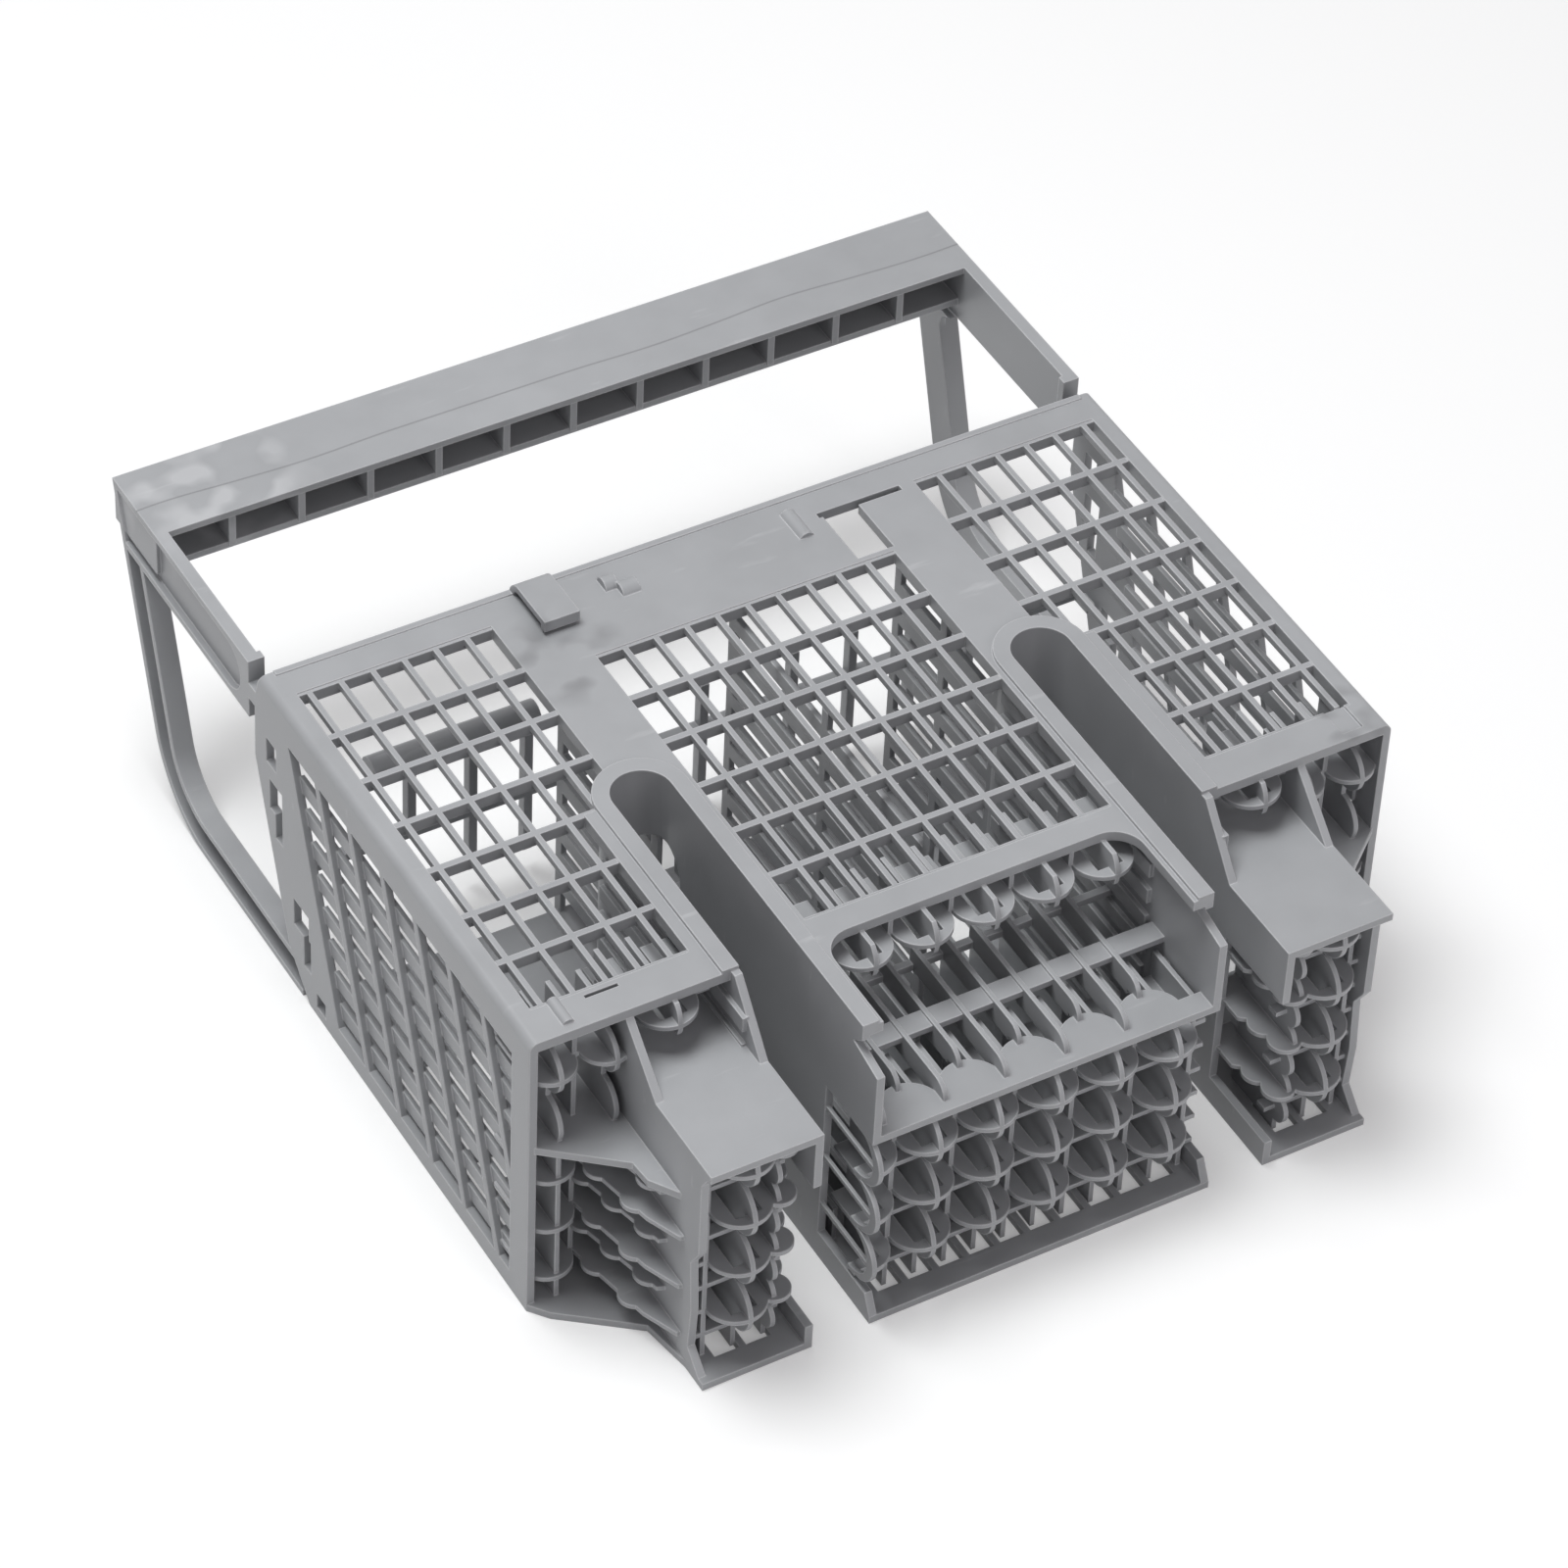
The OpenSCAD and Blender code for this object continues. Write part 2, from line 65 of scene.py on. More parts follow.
class BasketBodySizes(bpy.types.PropertyGroup):
    """Sizes of the body, its walls and its grilles."""

    basket_width: length("Width", "Width across the side walls", 242)
    basket_depth: length("Depth", "Depth from back wall to front wall", 92.5)
    basket_height: length("Height", "Height from the feet to the mouth", 186)
    wall: length("Wall", "Thickness of the side, back and slot walls", 2.2)
    front_wall: length("Front Wall", "Thickness of the front wall round its grilles", 3)
    outer_leg_end: length("Outer Leg End", "How far above the feet the two outer legs end", 42.5)
    back_top: length("Back Top", "How far above the feet the back wall ends at the mouth", 160)
    back_rib: length("Back Rib", "Height of the ribs that stand on the back wall", 11)
    back_rib_end: length("Back Rib End", "Height above the feet at which these ribs end", 93)
    slot_width: length("Slot Width", "Clear width of each slot between the legs", 16)
    slot_centre: length("Slot Centre", "Distance of each slot's middle from the basket's middle", 57)
    slot_length: length("Slot Length", "Height at which the round end of a slot begins", 105)
    slot_lip: length("Slot Lip", "Height of the slot walls' lower band along the back wall", 8)
    slot_wall_gap: length("Slot Wall Gap", "How far up from the feet the slot walls stay open", 26)
    collar: length("Collar", "Width of the raised collar round a slot", 4.5)
    collar_rise: length("Collar Rise", "How far the collar stands out of the front wall", 1)
    column_pitch: length("Column Pitch", "Spacing of the front grilles' upright bars", 8.75)
    column_bar: length("Column Bar", "Width of the upright bars", 1.5)
    row_pitch: length("Row Pitch", "Spacing of the cross bars", 17.6)
    row_bar: length("Row Bar", "Width of the cross bars", 1.8)
    column_depth: length("Column Depth", "Thickness of the upright bars", 2)
    bar_depth: length("Row Depth", "Thickness of the cross bars", 3.4)
    middle_grille_top: length("Middle Grille Top", "Upper edge of the middle grille above the feet", 155)
    mouth_border: length("Mouth Border", "Plain border between the mouth edge and the outer grilles", 9.8)
    side_border: length("Side Border", "Plain border between a side wall and the grille beside it", 5.7)
    outer_grille_inner: length("Outer Grille Edge", "Distance of the outer grilles' inner edge from the middle", 61.3)
    outer_grille_low: length("Outer Grille Low Edge", "Distance of that edge from the middle beside the slots", 72.9)
    side_rib_pitch: length("Side Rib Pitch", "Spacing of the slanting ribs of the side walls", 17.5)
    side_rib: length("Side Rib", "Width of the slanting ribs", 2.2)
    louvre_pitch: length("Louvre Pitch", "Spacing of the louvres", 8.75)
    louvre_width: length("Louvre Width", "Width of the louvres", 4.5)
    louvre: length("Louvre", "Thickness of the louvres", 1.3)
    louvre_inset: length("Louvre Inset", "How far the louvres lie behind the outer face", 1.7)
    divider: length("Divider", "Thickness of the barred dividers between the compartments", 1.6)
    divider_end: length("Divider End", "Height above the feet at which the dividers end", 161.5)
    mouth_rail: length("Mouth Rail", "Height of the rounded rail above the back wall", 54)
    hook_rise: length("Hook Rise", "How far the hook stands above the front face", 4.4)


class BasketFootSizes(bpy.types.PropertyGroup):
    """Sizes of the feet, their steps and the fin lattice."""

    foot_outer: length("Foot Outer", "Distance of a foot's outer wall from the basket's middle", 95.5)
    outer_step: length("Outer Step", "Depth of the step in the outer legs below the front wall", 17.5)
    middle_step: length("Middle Step", "Depth of the step in the middle leg below the front wall", 30.5)
    step_rise: length("Step Rise", "Height at which the sloping end of an outer leg meets its step", 27)
    step_plate: length("Step Plate", "Length of the step plate of an outer leg", 58)
    arm_tip: length("Horn Tip", "Height of the two horns of the middle leg above the feet", 11.3)
    arm_width: length("Horn Width", "Width of these horns", 5.7)
    recess_top: length("Recess Top", "Height of the top edge of the recess in the middle leg", 42.2)
    recess_bar: length("Recess Bar", "Height of the bars on the recess's floor above the step", 4.6)
    recess_bar_length: length("Recess Bar Length", "Length of those bars", 52)
    chamber_floor: length("Chamber Floor", "Height of the chamber floor in an outer leg above the back wall", 57)
    fin: length("Fin", "Thickness of the fins and shelves", 1.3)
    fin_pitch: length("Fin Pitch", "Spacing of the long fins and of the levels of lobes", 17)
    lobe: length("Lobe", "Radius of the round lobes where a long fin meets a shelf", 8.2)
    level_first: length("First Level", "Height of the first level of lobes above the back wall", 18)
    lattice_depth: length("Lattice Depth", "Depth of the lattice behind its lobes", 19)
    drain: length("Drain", "Width of the drain slots beside the long fins", 3)
    band: length("Band", "Width of the band in front of the drain slots", 3.4)


class BasketHandleSizes(bpy.types.PropertyGroup):
    """Sizes of the handle and its side arms."""

    handle_far: length("Handle Far Edge", "Distance of the handle's far edge from the feet", 270.5)
    handle_width: length("Handle Width", "Width of the handle bar", 25.5)
    handle_depth: length("Handle Depth", "Depth of the handle bar", 14)
    handle_wall: length("Handle Wall", "Thickness of the handle's walls", 2)
    handle_rib_pitch: length("Handle Rib Pitch", "Spacing of the ribs inside the handle bar", 19.75)
    straight_arm: length("Straight Arm", "Depth of the straight side arm below the front face", 18.5)
    curved_arm: length("Curved Arm", "Width of the curved side arm, measured across it", 11)
    arm_flange: length("Arm Flange", "How far the flanges of the curved arm stand outwards", 5.8)
    arm_flange_low: length("Straight Arm Wall", "Thickness of the straight arm", 3.6)
    side_arm_wall: length("Side Arm Wall", "Thickness of the side arms' web and flanges", 1.8)
    side_arm_radius: length("Side Arm Radius", "Radius of the outer edge of the bend in the side arms", 30)


SIZE_GROUPS = ("basket_body", "basket_feet", "basket_handle")


def own_keys(group):
    """Return the names of a property group's own values."""
    return [key for key in group.bl_rna.properties.keys() if key not in {"rna_type", "name"}]


def read_sizes(context):
    """Return all the basket's sizes in millimetres, with those that follow from them."""
    s = SimpleNamespace()
    for name in SIZE_GROUPS:
        group = getattr(context.scene, name)
        for key in own_keys(group):
            setattr(s, key, getattr(group, key) / MM)
    s.half = s.basket_width / 2
    s.front = s.basket_depth - s.front_wall
    s.slot_half = s.slot_width / 2
    s.middle_half = s.slot_centre - s.slot_half
    s.outer_inner = s.slot_centre + s.slot_half
    s.outer_step_top = s.basket_depth - s.outer_step
    s.middle_step_top = s.basket_depth - s.middle_step
    s.grille_low = s.basket_depth - s.bar_depth - 0.3
    s.lobe_y = s.lobe + 0.4
    s.half_pitch = s.fin_pitch / 2
    s.lattice_back = s.lobe_y + s.lattice_depth
    return s


# Solids: each function returns a mesh object in millimetres. An outline lies in one of three planes.

FLAT = (0, 1, 2)
ACROSS = (2, 0, 1)
ALONG = (1, 2, 0)


def workshop():
    """Return the collection that holds the solids while they are built."""
    tray = bpy.data.collections.get("Workshop")
    if tray is None:
        tray = bpy.data.collections.new("Workshop")
        bpy.context.scene.collection.children.link(tray)
    return tray


def solid(points, faces):
    """Return a mesh object on the workshop's tray."""
    mesh = bpy.data.meshes.new("solid")
    mesh.from_pydata(points, [], faces)
    mesh.update()
    part = bpy.data.objects.new("solid", mesh)
    workshop().objects.link(part)
    return part


def prism(outline, low, high, plane=FLAT):
    """Stand an outline up between low and high. FLAT is X-Y, ACROSS is Y-Z and ALONG is Z-X."""
    area = sum(a[0] * b[1] - b[0] * a[1] for a, b in zip(outline, outline[1:] + outline[:1]))
    if area < 0:
        outline = outline[::-1]
    count = len(outline)
    points = []
    for level in (low, high):
        for a, b in outline:
            local = (a, b, level)
            points.append(tuple(local[axis] for axis in plane))
    faces = [tuple(range(count))[::-1], tuple(range(count, 2 * count))]
    faces += [(k, (k + 1) % count, (k + 1) % count + count, k + count) for k in range(count)]
    return solid(points, faces)


def block(x0, x1, y0, y1, z0, z1):
    """Return a box."""
    return prism([(x0, y0), (x1, y0), (x1, y1), (x0, y1)], z0, z1)


def cell(x0, x1, y0, y1):
    """Return the outline of a rectangle."""
    return [(x0, y0), (x1, y0), (x1, y1), (x0, y1)]


def circle(a, b, radius, count=SEGMENTS):
    """Return the outline of a circle."""
    turn = 2 * math.pi / count
    return [(a + radius * math.cos(k * turn), b + radius * math.sin(k * turn)) for k in range(count)]


def arc(a, b, radius, start, end, count=12):
    """Return the points of an arc, with its angles in degrees."""
    steps = [math.radians(start + (end - start) * k / count) for k in range(count + 1)]
    return [(a + radius * math.cos(t), b + radius * math.sin(t)) for t in steps]


def rounded(x0, x1, y0, y1, radius):
    """Return the outline of a rectangle with round corners."""
    corners = ((x1, y1, 0), (x0, y1, 90), (x0, y0, 180), (x1, y0, 270))
    points = []
    for x, y, start in corners:
        a = x - radius if x == x1 else x + radius
        b = y - radius if y == y1 else y + radius
        points += arc(a, b, radius, start, start + 90, 6)
    return points


def combine(operation, base, tools):
    """Apply one boolean to base with every tool, and clear the tools away."""
    tools = [tool for tool in tools if tool is not None]
    if not tools:
        return base
    bench = bpy.data.collections.new("Bench")
    bpy.context.scene.collection.children.link(bench)
    for tool in tools:
        workshop().objects.unlink(tool)
        bench.objects.link(tool)
    change = base.modifiers.new("change", "BOOLEAN")
    change.operation = operation
    change.solver = "MANIFOLD"
    change.operand_type = "COLLECTION"
    change.collection = bench
    seen = base.evaluated_get(bpy.context.evaluated_depsgraph_get())
    mesh = bpy.data.meshes.new_from_object(seen)
    base.modifiers.clear()
    old = base.data
    base.data = mesh
    bpy.data.meshes.remove(old)
    for tool in tools:
        bpy.data.meshes.remove(tool.data)
    bpy.data.collections.remove(bench)
    return base


def join(parts):
    """Return the union of a list of solids."""
    parts = [part for part in parts if part is not None]
    return combine("UNION", parts[0], parts[1:])


def cut(body, tools):
    """Return the body less the tools."""
    return combine("DIFFERENCE", body, tools)


def common(body, tool):
    """Return what the body shares with the tool."""
    return combine("INTERSECT", body, [tool])


def mirrored(part):
    """Return a copy of a solid, mirrored from left to right."""
    mesh = part.data.copy()
    mesh.transform(Matrix.Scale(-1.0, 4, (1.0, 0.0, 0.0)))
    mesh.flip_normals()
    twin = bpy.data.objects.new("solid", mesh)
    workshop().objects.link(twin)
    return twin


def both_sides(part):
    """Return a solid together with its mirror image."""
    return [part, mirrored(part)]


# Outlines and openings of the front wall

MIDDLE_COLUMNS = 10
OUTER_COLUMNS = 6
MIDDLE_ROWS = 6
UPPER_ROWS = 4
ALL_ROWS = 7


def slot_prism(s, side, radius, start, low, high):
    """Return the shape of one slot, with its round end, at the given radius."""
    centre = side * s.slot_centre
    tip = arc(centre, s.slot_length, radius, 0, 180, SEGMENTS // 2)
    return prism([(centre + radius, start)] + tip + [(centre - radius, start)], low, high)


def slot_tools(s, radius, low, high):
    """Return both slots as tools."""
    return [slot_prism(s, side, radius, -OVER, low, high) for side in (-1, 1)]


def recess_tool(s, low, high):
    """Return the recess in the middle leg, with its round corners."""
    width = s.middle_half - s.arm_width
    r = 8
    top = s.recess_top - r
    points = [(width, -OVER)] + arc(width - r, top, r, 0, 90) + arc(r - width, top, r, 90, 180) + [(-width, -OVER)]
    return prism(points, low, high)


def body_plate(s, low, high):
    """Return the front's outline, with its slots and its recess, as a plate."""
    plate = join([
        block(-s.half, s.half, s.outer_leg_end, s.basket_height, low, high),
        block(-s.middle_half, s.middle_half, s.arm_tip, s.outer_leg_end + 1, low, high)])
    tools = slot_tools(s, s.slot_half, low - OVER, high + OVER)
    return cut(plate, tools + [recess_tool(s, low - OVER, high + OVER)])


def row_line(s, row):
    """Return the middle of a cross bar of the outer grilles."""
    return s.basket_height - s.mouth_border - row * s.row_pitch


def outer_window(s, grow, low, high):
    """Return the opening of the right outer grille, grown by that much."""
    edge = s.half - s.side_border + grow
    window = join([
        block(s.outer_grille_inner - grow, edge, row_line(s, UPPER_ROWS), row_line(s, 0) + grow, low, high),
        block(s.outer_grille_low - grow, edge, row_line(s, ALL_ROWS) - grow, row_line(s, UPPER_ROWS) + 1, low, high)])
    return cut(window, [slot_prism(s, 1, s.slot_half + s.collar - grow, 0, low - OVER, high + OVER)])


def middle_edge(s):
    """Return the distance of the middle grille's edge from the basket's middle."""
    return MIDDLE_COLUMNS / 2 * s.column_pitch - s.column_bar / 2


def middle_window(s, grow, low, high):
    """Return the opening of the middle grille, grown by that much."""
    edge = middle_edge(s) + grow
    base = s.middle_grille_top - MIDDLE_ROWS * s.row_pitch
    return block(-edge, edge, base - grow, s.middle_grille_top + grow, low, high)


def grille_cells(s, x0, x1, first, columns, top, rows):
    """Return the openings of a grille between x0 and x1, with its first bar at first."""
    low, high = s.grille_low - OVER, s.basket_depth + OVER
    cells = []
    for k in range(columns + 1):
        a = x0 if k == 0 else first + (k - 1) * s.column_pitch + s.column_bar / 2
        b = x1 if k == columns else first + k * s.column_pitch - s.column_bar / 2
        for j in range(rows):
            y1 = top - j * s.row_pitch - s.row_bar / 2
            cells.append(block(a, b, y1 - s.row_pitch + s.row_bar, y1, low, high))
    under_columns = s.grille_low + s.bar_depth - s.column_depth
    for j in range(rows):
        y1 = top - j * s.row_pitch - s.row_bar / 2
        cells.append(block(x0, x1, y1 - s.row_pitch + s.row_bar, y1, low, under_columns))
    return cells


def middle_grille(s):
    """Return the bars of the middle grille."""
    edge = middle_edge(s)
    bars = middle_window(s, BITE, s.grille_low, s.grille_low + s.bar_depth)
    return cut(bars, grille_cells(
        s, -edge, edge, (1 - MIDDLE_COLUMNS / 2) * s.column_pitch, MIDDLE_COLUMNS - 1, s.middle_grille_top,
        MIDDLE_ROWS))


def outer_grille(s):
    """Return the bars of the right outer grille."""
    first = s.outer_grille_inner + 7.2
    edge = s.half - s.side_border
    cells = grille_cells(s, s.outer_grille_inner, edge, first, OUTER_COLUMNS, row_line(s, 0), UPPER_ROWS)
    cells += grille_cells(
        s, s.outer_grille_low, edge, first + s.column_pitch, OUTER_COLUMNS - 1, row_line(s, UPPER_ROWS),
        ALL_ROWS - UPPER_ROWS)
    high = s.grille_low + s.bar_depth
    openings = common(join(cells), outer_window(s, 0, s.grille_low - OVER, high + OVER))
    return cut(outer_window(s, BITE, s.grille_low, high), [openings])


def front_wall(s):
    """Return the front wall round its grilles."""
    low, high = s.front - OVER, s.basket_depth + OVER
    windows = [middle_window(s, 0, low, high)] + both_sides(outer_window(s, 0, low, high))
    return cut(body_plate(s, s.front, s.basket_depth), windows)


def collars(s):
    """Return the raised collars round the slots."""
    top = s.basket_depth + s.collar_rise
    rings = [slot_prism(s, side, s.slot_half + s.collar, 0, s.front, top) for side in (-1, 1)]
    return common(join(rings), body_plate(s, s.front - OVER, top + OVER))


# Side walls

SIDE_RIB_SLANT = math.tan(math.radians(19))
SIDE_GRILLE_BASE = 6
SIDE_GRILLE_TOP = 82
CORNER_POST = 9


def grille_edge(s, z):
    """Return where the side grille ends towards the mouth, at height z."""
    return s.basket_height - 16 - (SIDE_GRILLE_TOP - z) * SIDE_RIB_SLANT


def side_window(s, low, high):
    """Return the opening of the side grille."""
    start = s.outer_leg_end + CORNER_POST
    return prism([
        (start, SIDE_GRILLE_BASE), (grille_edge(s, SIDE_GRILLE_BASE), SIDE_GRILLE_BASE),
        (grille_edge(s, SIDE_GRILLE_TOP), SIDE_GRILLE_TOP), (start, SIDE_GRILLE_TOP)], low, high, ACROSS)


def side_holes(s, low, high):
    """Return the small openings in the side wall's border at the mouth."""
    y = s.basket_height
    holes = (
        (y - 9, y - 3.5, 67, 75), (y - 12, y - 5, 52, 62), (y - 12, y - 8, 44, 54), (y - 26, y - 17.5, 22, 31),
        (y - 27, y - 23, 12, 23), (y - 35, y - 30, 3, 8))
    return [prism(cell(*hole), low, high, ACROSS) for hole in holes]


def side_wall(s):
    """Return the left side wall with its slanting ribs and its louvres."""
    face = -s.half
    low, high = face - OVER, face + s.wall + OVER
    depth, mouth = s.basket_depth, s.basket_height
    wall = prism([
        (s.outer_leg_end, 0), (s.back_top, 0), (s.back_top + 11.5, 0.13 * depth), (mouth + 3, 0.69 * depth),
        (mouth + 2.5, depth - 8.5), (mouth, depth), (s.outer_leg_end, depth)], face, face + s.wall, ACROSS)
    cut(wall, [side_window(s, low, high)] + side_holes(s, low, high))
    run = (SIDE_GRILLE_TOP - SIDE_GRILLE_BASE) * SIDE_RIB_SLANT
    width = s.side_rib / math.cos(math.atan(SIDE_RIB_SLANT))
    back = face + s.louvre_inset + 0.2
    ribs = []
    for k in range(1, 8):
        y = grille_edge(s, SIDE_GRILLE_BASE) - k * s.side_rib_pitch
        ribs.append(prism([
            (y, SIDE_GRILLE_BASE - 1), (y + width, SIDE_GRILLE_BASE - 1),
            (y + width + run + 1, SIDE_GRILLE_TOP + 1), (y + run + 1, SIDE_GRILLE_TOP + 1)], face, back, ACROSS))
    parts = [wall, common(join(ribs), side_window_grown(s, low, high))]
    z = SIDE_GRILLE_BASE + 2
    start = s.outer_leg_end + CORNER_POST - 1
    while z <= SIDE_GRILLE_TOP - s.louvre_width:
        x = face + s.louvre_inset
        parts.append(block(x, x + s.louvre, start, grille_edge(s, z) + 1.5, z, z + s.louvre_width))
        z += s.louvre_pitch
    return join(parts)


def side_window_grown(s, low, high):
    """Return the side grille's opening with a narrow overlap all round, to hold the ribs."""
    start = s.outer_leg_end + CORNER_POST - BITE
    base, top = SIDE_GRILLE_BASE - BITE, SIDE_GRILLE_TOP + BITE
    return prism([
        (start, base), (grille_edge(s, base) + BITE, base), (grille_edge(s, top) + BITE, top), (start, top)],
        low, high, ACROSS)


def edge_tool(s):
    """Return what rounds the long edge between the front wall and the right side wall."""
    r = s.front_wall - 0.5
    x, z = s.half - r, s.basket_depth - r
    corner = [(z, x), (z, x + r + OVER), (z + r + OVER, x + r + OVER), (z + r + OVER, x)]
    return cut(
        prism(corner, s.outer_leg_end - OVER, s.basket_height + OVER, ALONG),
        [prism(circle(z, x, r), s.outer_leg_end - 2 * OVER, s.basket_height + 2 * OVER, ALONG)])


# Back wall, slot walls and dividers


def back_wall(s):
    """Return the back wall with its openings and the ribs of the middle leg."""
    plate = [block(-s.middle_half, s.middle_half, 0, s.back_top, 0, s.wall)]
    for side in (-1, 1):
        plate.append(prism([(side * x, y) for x, y in (
            (s.outer_inner, 0), (s.foot_outer, 0), (s.foot_outer, 8.5), (s.foot_outer + 2.5, 23),
            (s.half - 4, s.outer_leg_end - 5), (s.half, s.outer_leg_end), (s.half, s.back_top), (0, s.back_top),
            (0, s.slot_length), (s.outer_inner, s.slot_length))], 0, s.wall))
    hole = s.column_pitch - 1.9
    pitch = 2 * s.row_pitch
    tall = pitch - 3.2
    first = s.back_rib_end + 2
    tools = slot_tools(s, s.slot_half, -OVER, s.wall + OVER)
    for k in range(-5, 5):
        x = (k + 0.5) * s.column_pitch - hole / 2
        tools.append(block(x, x + hole, 6.5, 17.5, -OVER, s.wall + OVER))
        y = first
        while y <= s.back_top - tall:
            tools.append(block(x, x + hole, y, y + tall, -OVER, s.wall + OVER))
            y += pitch
    for k in range(5):
        x = s.outer_grille_low + k * s.column_pitch
        spans = [(6.5, 17.5)] if k < 2 else []
        y = first - pitch
        while y <= s.back_top - tall:
            spans.append((y, y + tall))
            y += pitch
        for y0, y1 in spans:
            tools += both_sides(block(x, x + hole, y0, y1, -OVER, s.wall + OVER))
    parts = [cut(join(plate), tools)]
    for k in range(-5, 6):
        x = k * s.column_pitch
        parts.append(block(
            x - s.fin / 2, x + s.fin / 2, s.lattice_back - 1, s.back_rib_end, s.wall / 2, s.wall + s.back_rib))
    return join(parts)


def slot_walls(s):
    """Return the walls round both slots, open beside the lattice and sloping under the front wall."""
    walls = []
    w = s.slot_half + s.wall + 1
    for side in (-1, 1):
        out = s.slot_centre if side > 0 else -s.slot_centre - w
        mid = s.slot_centre - w if side > 0 else -s.slot_centre
        tools = [
            slot_prism(s, side, s.slot_half, -OVER, -OVER, s.basket_depth + OVER),
            block(out, out + w, -1, s.slot_wall_gap, s.slot_lip, s.outer_step_top - s.outer_step),
            block(mid, mid + w, -1, s.slot_wall_gap, s.slot_lip, s.middle_step_top - s.wall),
            prism([
                (-1, s.outer_step_top), (s.step_rise, s.outer_step_top), (s.outer_leg_end - 1, s.basket_depth + 1),
                (-1, s.basket_depth + 1)], out, out + w, ACROSS),
            prism([
                (-1, 0), (3.6, s.slot_lip + 1), (3.6, s.front - 7), (s.arm_tip + 4, s.front - 4),
                (s.arm_tip, s.front - 1), (s.arm_tip, s.basket_depth + 1), (-1, s.basket_depth + 1)],
                mid, mid + w, ACROSS)]
        if side < 0:
            hole = circle(s.slot_length + 3, s.front - 26, s.slot_half + 1)
            tools.append(prism(hole, -s.slot_centre, w - s.middle_half - 1, ACROSS))
        walls.append(cut(slot_prism(s, side, s.slot_half + s.wall, 0, 0, s.basket_depth), tools))
    return walls


def levels_of_bars(s):
    """Return the heights at which the bars of dividers and slot walls begin."""
    count = int((s.front - s.louvre_width - s.slot_lip - 2) / s.louvre_pitch) + 1
    return [s.slot_lip + 2 + k * s.louvre_pitch for k in range(count)]


def slot_wall_ribs(s):
    """Return the ribs on the faces of the slot walls that look into the compartments."""
    rise = 1.2
    start = s.slot_wall_gap + 8
    parts = []
    for z in levels_of_bars(s):
        for x0, x1 in (
                (s.middle_half - s.wall - rise, s.middle_half - s.wall + BITE),
                (s.outer_inner + s.wall - BITE, s.outer_inner + s.wall + rise)):
            parts += both_sides(block(x0, x1, start, s.slot_length, z, z + s.louvre_width))
    return parts


def barred_divider(s, x, start):
    """Return a barred divider from the back wall to the front wall."""
    x0, x1 = x - s.divider / 2, x + s.divider / 2
    parts = [block(x0, x1, start, s.divider_end, z, z + s.louvre_width) for z in levels_of_bars(s)]
    for y in (start, (start + s.divider_end) / 2, s.divider_end - 3):
        parts.append(block(x0, x1, y, y + 3, s.wall / 2, s.front + BITE))
    return parts


def dividers(s):
    """Return the middle divider and the two above the slots."""
    parts = barred_divider(s, 0, 62)
    for side in (-1, 1):
        parts += barred_divider(s, side * s.middle_half, s.slot_length + s.slot_half / 2 + 0.5)
    return parts


def mouth_grid(s):
    """Return the grid at the mouth of the rear compartment, with its rounded rail on the left."""
    y = s.basket_height - 8
    bar, post, depth = 27, 2.4, 3
    reach = s.half - s.wall
    parts = [block(-reach, reach, y, y + depth, bar, bar + post)]
    # the bar's ends turn back to where the side walls' slanting mouth edge is wide enough to hold them
    parts += both_sides(block(reach - post, reach, y - 6, y + 1, bar, bar + post))
    parts += both_sides(block(reach - BITE, reach + 1, y - 6, y - 2.5, bar, bar + post))
    for x in (-s.outer_inner, -s.middle_half, 2.7, 29.6, 47.4, s.outer_inner + 1, s.outer_inner + 19):
        parts.append(block(x - post / 2, x + post / 2, y, y + depth, s.slot_lip, s.mouth_rail - 10))
    x0, x1 = -s.outer_inner - 29, -s.middle_half
    rail = prism(circle(y + depth / 2, s.mouth_rail, 4), x0, x1 + post, ACROSS)
    parts.append(rail)
    for x in (-s.outer_inner - 17.6, -s.outer_inner, x1):
        parts.append(block(x - post / 2, x + post / 2, y, y + depth, bar, s.mouth_rail))
    return parts


def hook(s):
    """Return the hook at the mouth, with its round back."""
    x0, x1 = -51, -41
    wall, reach = 1.8, 19
    top = s.basket_depth + s.hook_rise
    r = s.hook_rise + 0.5
    y0, y1 = s.basket_height - reach, s.basket_height
    outline = [(y1 - wall - 0.5, s.front), (y1, s.front), (y1, top - r)]
    outline += arc(y1 - r, top - r, r, 0, 90, 8)
    outline += [(y0, top), (y0, top - wall - 1.5), (y0 + 2, top - wall - 1.5), (y0 + 2, top - wall)]
    outline += arc(y1 - r, top - r, r - wall, 90, 0, 8)
    return prism(outline, x0, x1, ACROSS)


def mouth_details(s):
    """Return the catches and nibs on the front wall."""
    y, z = s.basket_height, s.basket_depth
    return [
        prism(circle(y - 9, z - 0.4, 2.6), -29.5, -25.8, ACROSS),
        prism(circle(y - 12.5, z - 0.8, 2.8), -26.4, -21.4, ACROSS),
        prism(circle(z - 0.9, 26, 2.3), y - 16.5, y - 6, ALONG),
        block(4 - s.half, s.half - 4, y - 1.8, y, z - 1, z + 0.4),
        prism(circle(z - 0.4, -109.4, 1.6), s.outer_leg_end + 2.5, s.outer_leg_end + 11, ALONG),
    ]


def front_tools(s):
    """Return the slot and the window at the mouth, the slit at the left leg and the dimple at the right one."""
    y, low, high = s.basket_height, s.front - 1, s.basket_depth + OVER
    return [
        block(32.5, 57, y - 11.5, y - 9.7, low, high),
        block(33.5, 44, y - 29.5, y - 10.5, low, high),
        block(-102, -93, s.outer_leg_end + 8, s.outer_leg_end + 9, low, high),
        block(108, 114, s.outer_leg_end + 2.5, s.outer_leg_end + 11.5, s.basket_depth - 0.8, high),
    ]


